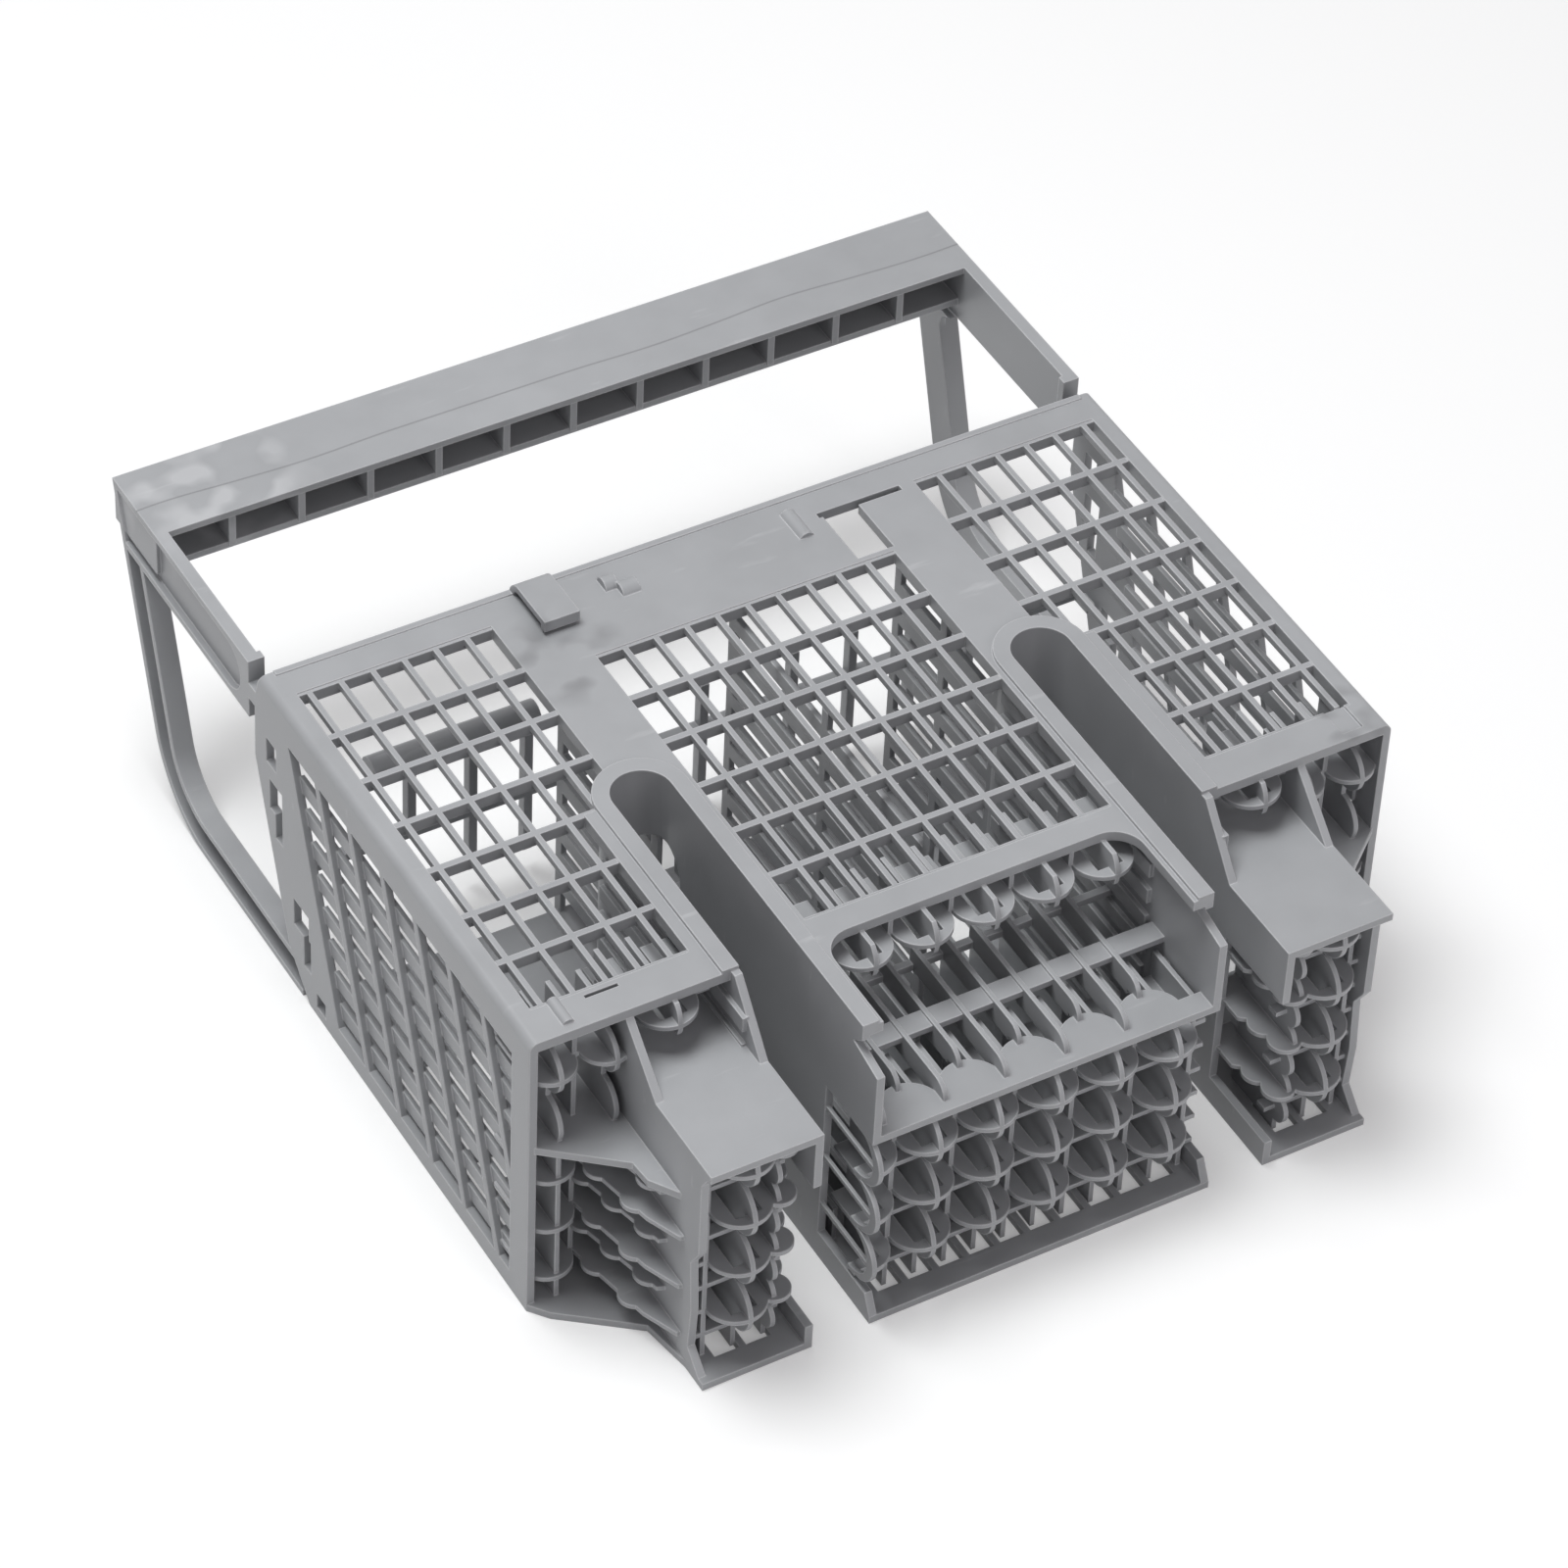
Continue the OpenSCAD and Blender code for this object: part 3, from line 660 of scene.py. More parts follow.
def shell(s):
    """Return the basket's body without its legs."""
    parts = [front_wall(s), middle_grille(s), collars(s), back_wall(s), hook(s)]
    parts += both_sides(outer_grille(s)) + both_sides(side_wall(s))
    parts += slot_walls(s) + slot_wall_ribs(s) + dividers(s) + mouth_grid(s) + mouth_details(s)
    return cut(join(parts), front_tools(s) + both_sides(edge_tool(s)))


# Legs and their steps

FIN_OFFSET = 2.6
FOOT_FIN = 13.1


def outer_leg(s):
    """Return the right outer leg: its step plate, its outer wall and its chamber floor."""
    top = s.outer_step_top
    foot = s.foot_outer
    wall = prism([
        (0, 0), (8, 8), (7, 22), (8, top - 37), (4.4, top - 31), (4.4, top - 7), (0, top), (s.step_rise, top),
        (s.outer_leg_end, s.front + 0.1), (s.step_plate, s.front + 0.1), (s.step_plate, 0)],
        foot - s.wall, foot, ACROSS)
    slits = []
    z = s.slot_lip + 2
    while z <= s.chamber_floor - s.wall - s.louvre_width:
        slits.append(block(foot - s.wall - 1, foot + 1, 34, 52, z, z + s.louvre_width))
        z += s.louvre_pitch
    floor = prism([
        (foot - 1, 12), (foot + 5, 21), (foot + 5.5, 27.5), (s.half - 1, s.outer_leg_end + 0.5), (s.half - 1, 60),
        (foot - 1, 60)], s.chamber_floor - s.wall, s.chamber_floor)
    return [block(s.outer_inner, foot, 0, s.step_plate, top - s.wall, top), cut(wall, slits), floor]


def recess_bar_x(s, k):
    """Return the place of one bar on the recess's floor."""
    return FIN_OFFSET + (k - 0.5) * s.half_pitch


def middle_step_plate(s):
    """Return the middle leg's step plate, with the scallops of its rear edge."""
    low, high = s.middle_step_top - s.wall, s.middle_step_top
    width = s.middle_half - s.wall / 2
    humps = [block(-width, width, 3.6, s.lobe_y + 1, low, high)]
    for k in range(-4, 5, 2):
        humps.append(prism(circle(recess_bar_x(s, k), s.lobe_y, s.half_pitch - 0.3), low, high))
    return common(join(humps), block(-width, width, 3.6, 60, low - OVER, high + OVER))


def recess_floor(s):
    """Return the bars along the recess's floor, every second one starting further forward."""
    base, r = s.middle_step_top, s.recess_bar
    width = s.middle_half - s.wall / 2
    parts = []
    for k in range(-5, 5):
        x = recess_bar_x(s, k)
        if abs(x) > s.middle_half - s.wall:
            continue
        start = s.lobe_y + s.half_pitch - 2.6 if k % 2 == 0 else s.lobe_y - 2
        nose = arc(start + r, base, r, 180, 90, 8)
        outline = [(start, base - 1)] + nose + [
            (s.recess_bar_length, base + r), (s.recess_bar_length, base - s.wall), (start + r, base - s.wall),
            (start + r, base - 1)]
        parts.append(prism(outline, x - s.fin / 2, x + s.fin / 2, ACROSS))
    strip = base + r - 2.6
    parts.append(block(-width, width, s.lobe_y + 18, s.lobe_y + 24, strip, strip + 1.8))
    parts.append(block(-width, width, s.recess_bar_length - 2, s.recess_bar_length, base - s.wall, base))
    return parts


# Fin lattice: fins and shelves cross in round lobes, with plain fins and ribs halfway between


def shelf(s, xs, x0, x1, low, z):
    """Return one shelf with a lobe and two drain slots at each long fin."""
    z0, z1 = z - s.fin / 2, z + s.fin / 2
    parts = [block(x0, x1, low + s.lobe_y, low + s.lattice_back, z0, z1)]
    parts += [prism(circle(x, low + s.lobe_y, s.lobe), z0, z1) for x in xs]
    plate = common(join(parts), block(x0, x1, low, low + s.lattice_back, z0 - OVER, z1 + OVER))
    start = low + s.lobe_y - s.lobe + s.band
    tools = []
    for x in xs:
        for side in (-1, 1):
            a = x + side * (s.fin + s.drain) / 2 - s.drain / 2
            tools.append(block(a, a + s.drain, start, start + s.lattice_back, z0 - OVER, z1 + OVER))
    return cut(plate, tools)


def long_fin(s, x, z0, z1, low, levels):
    """Return a fin whose front edge has a round lobe at each level."""
    a, b = x - s.fin / 2, x + s.fin / 2
    parts = [block(a, b, low + s.lobe_y, low + s.lattice_back, z0, z1)]
    parts += [prism(circle(low + s.lobe_y, z, s.lobe), a, b, ACROSS) for z in levels]
    return common(join(parts), block(a - OVER, b + OVER, low, low + s.lattice_back, z0, z1))


def short_fin(s, x, z0, z1, low):
    """Return a plain fin with a straight front edge."""
    return block(x - s.fin / 2, x + s.fin / 2, low + s.lobe_y, low + s.lattice_back, z0, z1)


def rib_between(s, x0, x1, low, z):
    """Return a narrow rib halfway between two shelves."""
    return block(x0, x1, low + s.lobe_y, low + s.lobe_y + s.band, z - s.fin / 2, z + s.fin / 2)


def spaced(first, pitch, end):
    """Return the values from first to end, a pitch apart."""
    values = []
    while first <= end:
        values.append(first)
        first += pitch
    return values


def middle_lattice(s):
    """Return the lattice between the back wall and the middle step."""
    base, top = s.wall / 2, s.middle_step_top - s.wall / 2
    inner = s.middle_half - 0.3
    xs = [FIN_OFFSET + k * s.fin_pitch for k in range(-3, 3)]
    levels = spaced(s.level_first, s.fin_pitch, top - s.fin)
    between = spaced(s.level_first - s.half_pitch, s.fin_pitch, top - s.fin)
    parts = [shelf(s, xs, -inner, inner, 0, z) for z in levels]
    parts += [rib_between(s, -inner, inner, 0, z) for z in between]
    parts += [long_fin(s, x, base, top, 0, levels) for x in xs[1:]]
    parts += [short_fin(s, x + s.half_pitch, base, top, 0) for x in xs if x + s.half_pitch < inner - s.fin]
    # in the plane of the slot wall only the rims of a fin's lobes
    rims = []
    for z in levels:
        ring = prism(circle(s.lobe_y, z, s.lobe), -inner, s.fin - inner, ACROSS)
        rims.append(cut(ring, [prism(circle(s.lobe_y + 2.4, z, s.lobe - 0.6), -inner - OVER, OVER - inner, ACROSS)]))
    rims = common(join(rims), block(-inner - OVER, 0, 0, s.lobe_y + 4, base, top))
    parts.append(rims)
    parts += hanging_row(s, xs[1:], -inner, inner, s.recess_top - s.lobe_y + 0.5)
    return parts


def hanging_row(s, xs, x0, x1, low):
    """Return the row of lobes that hangs under the front wall."""
    z, top = s.front - 5.3, s.front + BITE
    parts = [shelf(s, xs, x0, x1, low, z)]
    parts += [long_fin(s, x, z - 3, top, low, [z]) for x in xs]
    parts += [short_fin(s, x + s.half_pitch, z - s.fin / 2, top, low) for x in xs if x + s.half_pitch < x1 - s.fin]
    return parts


def scallops(s, start, end, count, x_min, z0, z1):
    """Return a row of round humps from start to end, kept to the side of x_min."""
    humps = []
    for k in range(count):
        t = (k + 0.5) / count
        x, y = (a + t * (b - a) for a, b in zip(start, end))
        humps.append(prism(circle(x, y, s.half_pitch / 2 + 0.2), z0, z1))
    return common(join(humps), block(x_min, s.half, -OVER, s.basket_height, z0 - OVER, z1 + OVER))


def lobed_fin(s, x, z0, z1):
    """Return a short fin with a small lobe at each level and between."""
    a, b = x - s.fin / 2, x + s.fin / 2
    parts = [block(a, b, s.lobe_y, s.lattice_back, z0, z1)]
    for z in spaced(s.level_first - s.half_pitch, s.half_pitch, z1):
        parts.append(prism(circle(s.lobe_y, z, s.half_pitch / 2 + 0.2), a, b, ACROSS))
    return common(join(parts), block(a - OVER, b + OVER, 0, s.lattice_back, z0, z1))


def outer_lattice(s):
    """Return the lattice of the right foot."""
    base, top = s.wall / 2, s.outer_step_top - s.wall / 2
    x0 = s.outer_inner + s.wall + 3
    x1 = s.foot_outer - s.wall / 2
    x = s.foot_outer - FOOT_FIN
    levels = spaced(s.level_first, s.fin_pitch, top - s.fin)
    between = spaced(s.level_first - s.half_pitch, s.fin_pitch, top - s.fin)
    parts = [shelf(s, [x], x0, x1, 0, z) for z in levels]
    parts += [rib_between(s, x0, x1, 0, z) for z in between]
    parts += [long_fin(s, x, base, top, 0, levels), short_fin(s, x + s.half_pitch, base, top, 0)]
    parts.append(lobed_fin(s, x - s.half_pitch, base, top))
    # the shelves' scalloped edge beside the slot, and their tie to the slot wall
    edge = s.outer_inner + s.wall / 2
    gap = s.slot_wall_gap
    for z in levels:
        z0, z1 = z - s.fin / 2, z + s.fin / 2
        parts.append(prism([
            (edge, gap + 6), (edge, gap - 1), (x0 + 0.5, s.lobe_y - 4), (x0 + 4, s.lobe_y - 4), (x0 + 4, gap + 6)],
            z0, z1))
        parts.append(scallops(s, (edge + 3, gap - 1), (x0 + 3, s.lobe_y - 5), 3, edge, z0, z1))
    parts += hanging_row(s, [x], x0, x1, s.outer_leg_end - 4)
    return parts + beside_foot(s)


def beside_foot(s):
    """Return the lattice between the right foot and the side wall, under and over the chamber floor."""
    x0, wall_x = s.foot_outer - s.wall / 2, s.half - s.wall / 2
    fin_x = s.half - 8
    r = wall_x - fin_x
    y0 = s.outer_leg_end - 1.5 + r
    y1 = y0 + 14
    edge = fin_x - r
    second_x = fin_x - s.fin_pitch + 2
    t = s.fin / 2
    parts = []
    slant = [(x0, 11), (s.foot_outer + 1, 11.5), (s.foot_outer + 5, 21), (edge, y0), (edge, y1), (x0, y1)]
    short_slant = [(x0, 19), (s.foot_outer + 2, 20), (edge, y0 + 6), (edge, y1), (x0, y1)]
    inset = s.half_pitch / 2 - 1.4
    for z in spaced(s.level_first - s.half_pitch, s.fin_pitch, s.chamber_floor - s.wall - s.fin):
        parts += lobed_shelf(s, [fin_x], edge - 0.1, wall_x, y0, y1, r, z)
        parts.append(prism(slant, z - t, z + t))
        ends = [(x - inset, y) for x, y in (slant[2], slant[3])]
        parts.append(scallops(s, *ends, 2, x0, z - t, z + t))
        if z + s.half_pitch < s.chamber_floor - s.wall:
            z += s.half_pitch
            parts.append(prism(short_slant, z - t, z + t))
            ends = [(x - inset, y) for x, y in short_slant[1:3]]
            parts.append(scallops(s, *ends, 3, x0, z - t, z + t))
    over = [z for z in spaced(s.level_first - s.half_pitch, s.fin_pitch, s.front - s.fin) if z > s.chamber_floor]
    parts += lobed_shelf(s, [fin_x, second_x], x0, wall_x, y0, y1, r, over[-1])
    parts.append(prism(cell(y0, y1, s.wall / 2, s.front + BITE), edge - t, edge + t, ACROSS))
    parts.append(prism(cell(y0 - r + 1, y1, s.wall / 2, s.chamber_floor), fin_x - t, fin_x + t, ACROSS))
    for x in (fin_x, second_x):
        parts.append(prism(cell(y0, y1, s.chamber_floor - 1, s.front + BITE), x - t, x + t, ACROSS))
        parts += [prism(circle(y0, z, r), x - t, x + t, ACROSS) for z in over]
    return parts


def lobed_shelf(s, xs, x0, x1, y0, y1, radius, z):
    """Return a shelf beside the foot, with a lobe at each fin."""
    z0, z1 = z - s.fin / 2, z + s.fin / 2
    lobes = join([prism(circle(x, y0, radius), z0, z1) for x in xs])
    return [block(x0, x1, y0, y1, z0, z1), common(lobes, block(x0, x1, 0, y0 + 1, z0 - OVER, z1 + OVER))]


# Handle and side arms


def arm_frame(s):
    """Return the middle of the side arms' bend, and the direction across their upper length."""
    slope = math.radians(73.6)
    return (s.handle_far - 49.7, s.side_arm_radius), (math.cos(slope), math.sin(slope))


def arm_line(s, inset, z):
    """Return the height above the feet of the curved arm's edge, set in by that much, at depth z."""
    (y, z0), (run, rise) = arm_frame(s)
    return y + (s.side_arm_radius - inset) / rise + (z - z0) * run / rise


def arm_side(s, inset, low, high):
    """Return all that lies on the basket's side of the curved arm's outer edge, set in by that much."""
    (y, z), (run, rise) = arm_frame(s)
    r = s.side_arm_radius - inset
    reach = 90
    tangent = (y + r * rise, z - r * run)
    outline = [(y - 80, inset), (y, inset)]
    outline += arc(y, z, r, -90, -math.degrees(math.atan2(run, rise)), 24)[1:]
    outline += [(tangent[0] + reach * run, tangent[1] + reach * rise), (y + reach * run - 80, z + reach * rise)]
    outline.append((y - 80, z))
    return prism(outline, low, high, ACROSS)


def arm_band(s, outer, inner, low, high):
    """Return the strip of the curved arm between two insets."""
    strip = cut(arm_side(s, outer, low, high), [arm_side(s, inner, low - OVER, high + OVER)])
    return common(strip, prism(
        cell(s.back_top + 4, s.handle_far, 0, s.basket_depth), low - OVER, high + OVER, ACROSS))


def arm_corner(s, low, high):
    """Return the filling of the corner where the two arms meet, with its round edge."""
    (_, _), (run, rise) = arm_frame(s)
    z = s.basket_depth - s.straight_arm
    r = 5
    c = (arm_line(s, s.curved_arm, z - r) - r / rise, z - r)
    turn = -math.degrees(math.atan2(run, rise))
    outline = [(c[0], z + 0.1), (arm_line(s, s.curved_arm, z) + 0.1, z + 0.1)]
    outline += arc(c[0], c[1], r, turn, 90, 10)
    return prism(outline, low, high, ACROSS)


def side_arms(s):
    """Return the right side arms: the curved channel, and the straight arm with its groove."""
    x, t = s.half - s.arm_flange, s.side_arm_wall
    z, top = s.basket_depth - s.straight_arm, s.basket_depth
    y0 = s.basket_height + 6
    outer = s.half
    parts = [arm_band(s, 0, s.curved_arm, x, x + t), arm_corner(s, x, x + t)]
    flanges = join([arm_band(s, 0, t, x, outer), arm_band(s, s.curved_arm - t, s.curved_arm, x, outer)])
    parts.append(cut(flanges, [prism(
        cell(y0, arm_line(s, s.curved_arm - t, top), z + t, top + OVER), x - OVER, outer + OVER, ACROSS)]))
    low = outer - s.arm_flange_low
    arm = common(arm_side(s, 0, low, outer), prism(cell(y0, s.handle_far, z, top), low - OVER, outer + OVER, ACROSS))
    arm = join([arm, prism(cell(s.basket_height - 1, y0 + 1, top - 12, top - 7), low, outer, ACROSS)])
    face = low + t
    groove = common(arm_side(s, t, face, outer + OVER), prism(
        cell(y0 + 12, s.handle_far, z + t, top - t), face - OVER, outer + 2 * OVER, ACROSS))
    end = prism(circle(y0 + 12, z + s.straight_arm / 2, s.straight_arm / 2 - t), face, outer + OVER, ACROSS)
    parts.append(cut(arm, [join([groove, end])]))
    parts.append(prism(cell(y0, y0 + 2.6, z, top), low - 1, outer, ACROSS))
    return parts


def handle_bar(s):
    """Return the handle bar: its top plate, its floor, its far wall and its ribs."""
    near, far = s.handle_far - s.handle_width, s.handle_far
    top, base = s.basket_depth, s.basket_depth - s.handle_depth
    wall, half = s.handle_wall, s.half
    parts = [
        prism(rounded(-half, half, near, far, 2.4), top - wall, top),
        block(1 - half, half - 1, near + 2, far, base, base + wall),
        block(1 - half, half - 1, far - wall, far, base, top - 1)]
    count = 11
    for k in range(count):
        x = (k - (count - 1) / 2) * s.handle_rib_pitch
        parts.append(block(x - wall / 2, x + wall / 2, near + 1.5, far - 1, base + 1, top - 1))
    return parts + both_sides(block(half - wall, half - 0.6, near + 1, far, base, top - 1))


# Surface


def new_group(name, inputs, outputs):
    """Return an empty shader node group with its sockets, and its input and output nodes."""
    group = bpy.data.node_groups.new(name, "ShaderNodeTree")
    for label, kind, value in inputs:
        socket = group.interface.new_socket(label, in_out="INPUT", socket_type=kind)
        if value is not None:
            socket.default_value = value
    for label, kind in outputs:
        group.interface.new_socket(label, in_out="OUTPUT", socket_type=kind)
    return group, group.nodes.new("NodeGroupInput"), group.nodes.new("NodeGroupOutput")


def wire(tree, value, socket):
    """Link a socket to an input, or set the input to a plain value."""
    if hasattr(value, "links"):
        tree.links.new(value, socket)
    else:
        socket.default_value = value


def add_math(tree, operation, a, b=0.0):
    """Add a math node; a and b are sockets or numbers."""
    node = tree.nodes.new("ShaderNodeMath")
    node.operation = operation
    wire(tree, a, node.inputs[0])
    wire(tree, b, node.inputs[1])
    return node.outputs[0]


def add_noise(tree, coordinates, scale, detail=2.0):
    """Add a noise texture at that scale and return its value."""
    node = tree.nodes.new("ShaderNodeTexNoise")
    node.inputs["Scale"].default_value = scale
    node.inputs["Detail"].default_value = detail
    tree.links.new(coordinates, node.inputs["Vector"])
    return node.outputs["Fac"]


def add_ramp(tree, value, low, high, top=1.0):
    """Map a value from low..high to 0..top, held at both ends."""
    node = tree.nodes.new("ShaderNodeMapRange")
    node.inputs["From Min"].default_value = low
    node.inputs["From Max"].default_value = high
    node.inputs["To Max"].default_value = top
    tree.links.new(value, node.inputs["Value"])
    return node.outputs["Result"]


def add_mix(tree, factor, a, b):
    """Mix two colours."""
    node = tree.nodes.new("ShaderNodeMix")
    node.data_type = "RGBA"
    wire(tree, factor, node.inputs[0])
    wire(tree, a, node.inputs[6])
    wire(tree, b, node.inputs[7])
    return node.outputs[2]


def patch_group():
    """Return the effect that marks a soft, cloudy patch about a point."""
    name = "Cloudy Patch"
    if name in bpy.data.node_groups:
        return bpy.data.node_groups[name]
    group, source, sink = new_group(
        name, (("Centre", "NodeSocketVector", (0.0, 0.0, 0.0)), ("Radius", "NodeSocketFloat", 0.02)),
        (("Mask", "NodeSocketFloat"),))
    position = group.nodes.new("ShaderNodeTexCoord").outputs["Object"]
    reach = group.nodes.new("ShaderNodeVectorMath")
    reach.operation = "DISTANCE"
    group.links.new(position, reach.inputs[0])
    group.links.new(source.outputs["Centre"], reach.inputs[1])
    near = add_math(group, "SUBTRACT", 1.0, add_math(group, "DIVIDE", reach.outputs["Value"], source.outputs["Radius"]))
    spots = add_ramp(group, add_noise(group, position, 85.0, 1.5), 0.47, 0.62)
    soft = add_ramp(group, near, 0.0, 0.45)
    group.links.new(add_math(group, "MULTIPLY", spots, soft), sink.inputs["Mask"])
    return group


def moulded_skin_group():
    """Return the shared effect for moulded plastic: tone, scuffs, painted highlight on edges, gloss and height of its
    skin.
    """
    name = "Moulded Skin"
    if name in bpy.data.node_groups:
        return bpy.data.node_groups[name]
    inputs = (
        ("Colour", "NodeSocketColor", (0.4, 0.4, 0.4, 1.0)),
        # pale colour of scuffs and of the painted highlight on edges
        ("Wear And Highlight Colour", "NodeSocketColor", (0.6, 0.6, 0.6, 1.0)),
        ("Roughness", "NodeSocketFloat", 0.4),
        ("Mottle", "NodeSocketFloat", 0.3),
        ("Grain", "NodeSocketFloat", 0.00002),
        ("Edge Highlight", "NodeSocketFloat", 0.4),
        ("Edge Radius", "NodeSocketFloat", 0.0005),
    )
    outputs = (("Colour", "NodeSocketColor"), ("Roughness", "NodeSocketFloat"), ("Height", "NodeSocketFloat"))
    group, source, sink = new_group(name, inputs, outputs)
    position = group.nodes.new("ShaderNodeTexCoord").outputs["Object"]

    # tone: slow clouds and a little fine mottle about the body colour
    fine = add_math(group, "SUBTRACT", add_noise(group, position, 90.0, 4.0), 0.5)
    cloud = add_math(group, "SUBTRACT", add_noise(group, position, 14.0, 3.0), 0.5)
    sum_ = add_math(group, "ADD", cloud, add_math(group, "MULTIPLY", fine, 0.5))
    gain = add_math(group, "ADD", add_math(group, "MULTIPLY", sum_, source.outputs["Mottle"]), 1.0)
    tone = group.nodes.new("ShaderNodeVectorMath")
    tone.operation = "SCALE"
    group.links.new(source.outputs["Colour"], tone.inputs[0])
    group.links.new(gain, tone.inputs["Scale"])

    # scuffs: sparse streaks that catch the light
    streaks = group.nodes.new("ShaderNodeMapping")
    streaks.inputs["Scale"].default_value = (1.0, 6.0, 2.0)
    streaks.inputs["Rotation"].default_value = (0.0, 0.0, 0.6)
    group.links.new(position, streaks.inputs["Vector"])
    scuff = add_ramp(group, add_noise(group, streaks.outputs["Vector"], 45.0, 6.0), 0.66, 0.80, 0.3)
    colour = add_mix(group, scuff, tone.outputs["Vector"], source.outputs["Wear And Highlight Colour"])

    # edges: painted highlight, a paler colour where the shading normal bends round a moulded edge
    rounded_edge = group.nodes.new("ShaderNodeBevel")
    rounded_edge.samples = 6
    group.links.new(source.outputs["Edge Radius"], rounded_edge.inputs["Radius"])
    facing = group.nodes.new("ShaderNodeVectorMath")
    facing.operation = "DOT_PRODUCT"
    group.links.new(rounded_edge.outputs["Normal"], facing.inputs[0])
    group.links.new(group.nodes.new("ShaderNodeNewGeometry").outputs["Normal"], facing.inputs[1])
    bend = add_ramp(group, add_math(group, "SUBTRACT", 1.0, facing.outputs["Value"]), 0.01, 0.10)
    painted_edge_highlight = add_math(group, "MULTIPLY", bend, source.outputs["Edge Highlight"])
    group.links.new(add_mix(group, painted_edge_highlight, colour, source.outputs["Wear And Highlight Colour"]), sink.inputs["Colour"])

    gloss = add_math(group, "MULTIPLY", fine, 0.16)
    group.links.new(add_math(group, "ADD", source.outputs["Roughness"], gloss), sink.inputs["Roughness"])
    skin = add_noise(group, position, 1600.0, 2.0)
    group.links.new(add_math(group, "MULTIPLY", skin, source.outputs["Grain"]), sink.inputs["Height"])
    return group


def parting_line_mask(tree, s):
    """Mark the hairline that runs along the handle's top, with its slight wander."""
    position = tree.nodes.new("ShaderNodeTexCoord").outputs["Object"]
    axes = tree.nodes.new("ShaderNodeSeparateXYZ")
    tree.links.new(position, axes.inputs[0])
    run = tree.nodes.new("ShaderNodeCombineXYZ")
    tree.links.new(axes.outputs["X"], run.inputs["X"])
    wander = add_math(tree, "MULTIPLY", add_math(tree, "SUBTRACT", add_noise(tree, run.outputs[0], 22.0, 0.0), 0.5), 5 * MM)
    middle = (s.handle_far / 2 - 15.6) * MM
    offset = add_math(tree, "ABSOLUTE", add_math(tree, "SUBTRACT", add_math(tree, "SUBTRACT", axes.outputs["Y"], middle), wander))
    line = add_ramp(tree, offset, 0.45 * MM, 0.15 * MM)
    on_top = add_math(tree, "GREATER_THAN", axes.outputs["Z"], (s.basket_depth - 0.3) * MM)
    return add_math(tree, "MULTIPLY", line, on_top)


def plastic_material(settings, s):
    """Build the grey plastic of the basket, with painted sheen on the handle, a painted shadow by the hook, a dark
    patch at the right leg and its parting line.
    """
    material = bpy.data.materials.new("Grey Plastic")
    material.use_nodes = True
    tree = material.node_tree
    tree.nodes.clear()
    output = tree.nodes.new("ShaderNodeOutputMaterial")
    shader = tree.nodes.new("ShaderNodeBsdfPrincipled")
    tree.links.new(shader.outputs["BSDF"], output.inputs["Surface"])
    skin = tree.nodes.new("ShaderNodeGroup")
    skin.node_tree = moulded_skin_group()
    for label, value in (
            ("Colour", settings.colour), ("Wear And Highlight Colour", settings.wear_and_highlight_colour), ("Roughness", settings.roughness),
            ("Mottle", settings.mottle), ("Grain", settings.grain), ("Edge Highlight", settings.edge_highlight),
            ("Edge Radius", settings.edge_radius)):
        skin.inputs[label].default_value = value
    colour = skin.outputs["Colour"]

    # painted sheen as pale blotches at the handle's left end, a painted shadow of the hook next to it, and a dark patch
    # about the dimple at the right leg
    top = s.basket_depth
    for x, y, reach, mark, strength in (
            (-100, 256, 30, settings.wear_and_highlight_colour, 0.45), (-50, 157, 19, settings.shadow_and_mark_colour, 0.45),
            (110, 50, 13, settings.shadow_and_mark_colour, 0.6)):
        patch = tree.nodes.new("ShaderNodeGroup")
        patch.node_tree = patch_group()
        patch.inputs["Centre"].default_value = (x * MM, (y - s.handle_far / 2) * MM, top * MM)
        patch.inputs["Radius"].default_value = reach * MM
        colour = add_mix(tree, add_math(tree, "MULTIPLY", patch.outputs["Mask"], strength), colour, mark)
    line = parting_line_mask(tree, s)
    colour = add_mix(tree, add_math(tree, "MULTIPLY", line, 0.45), colour, settings.shadow_and_mark_colour)
    tree.links.new(colour, shader.inputs["Base Color"])
    tree.links.new(skin.outputs["Roughness"], shader.inputs["Roughness"])
    shader.inputs["IOR"].default_value = 1.49
    edge = tree.nodes.new("ShaderNodeBevel")
    edge.samples = 6
    edge.inputs["Radius"].default_value = settings.edge_radius
    bump = tree.nodes.new("ShaderNodeBump")
    bump.inputs["Distance"].default_value = 1.0
    bump.inputs["Strength"].default_value = 1.0
    height = add_math(tree, "SUBTRACT", skin.outputs["Height"], add_math(tree, "MULTIPLY", line, 0.00008))
    tree.links.new(height, bump.inputs["Height"])
    tree.links.new(edge.outputs["Normal"], bump.inputs["Normal"])
    tree.links.new(bump.outputs["Normal"], shader.inputs["Normal"])
    return material


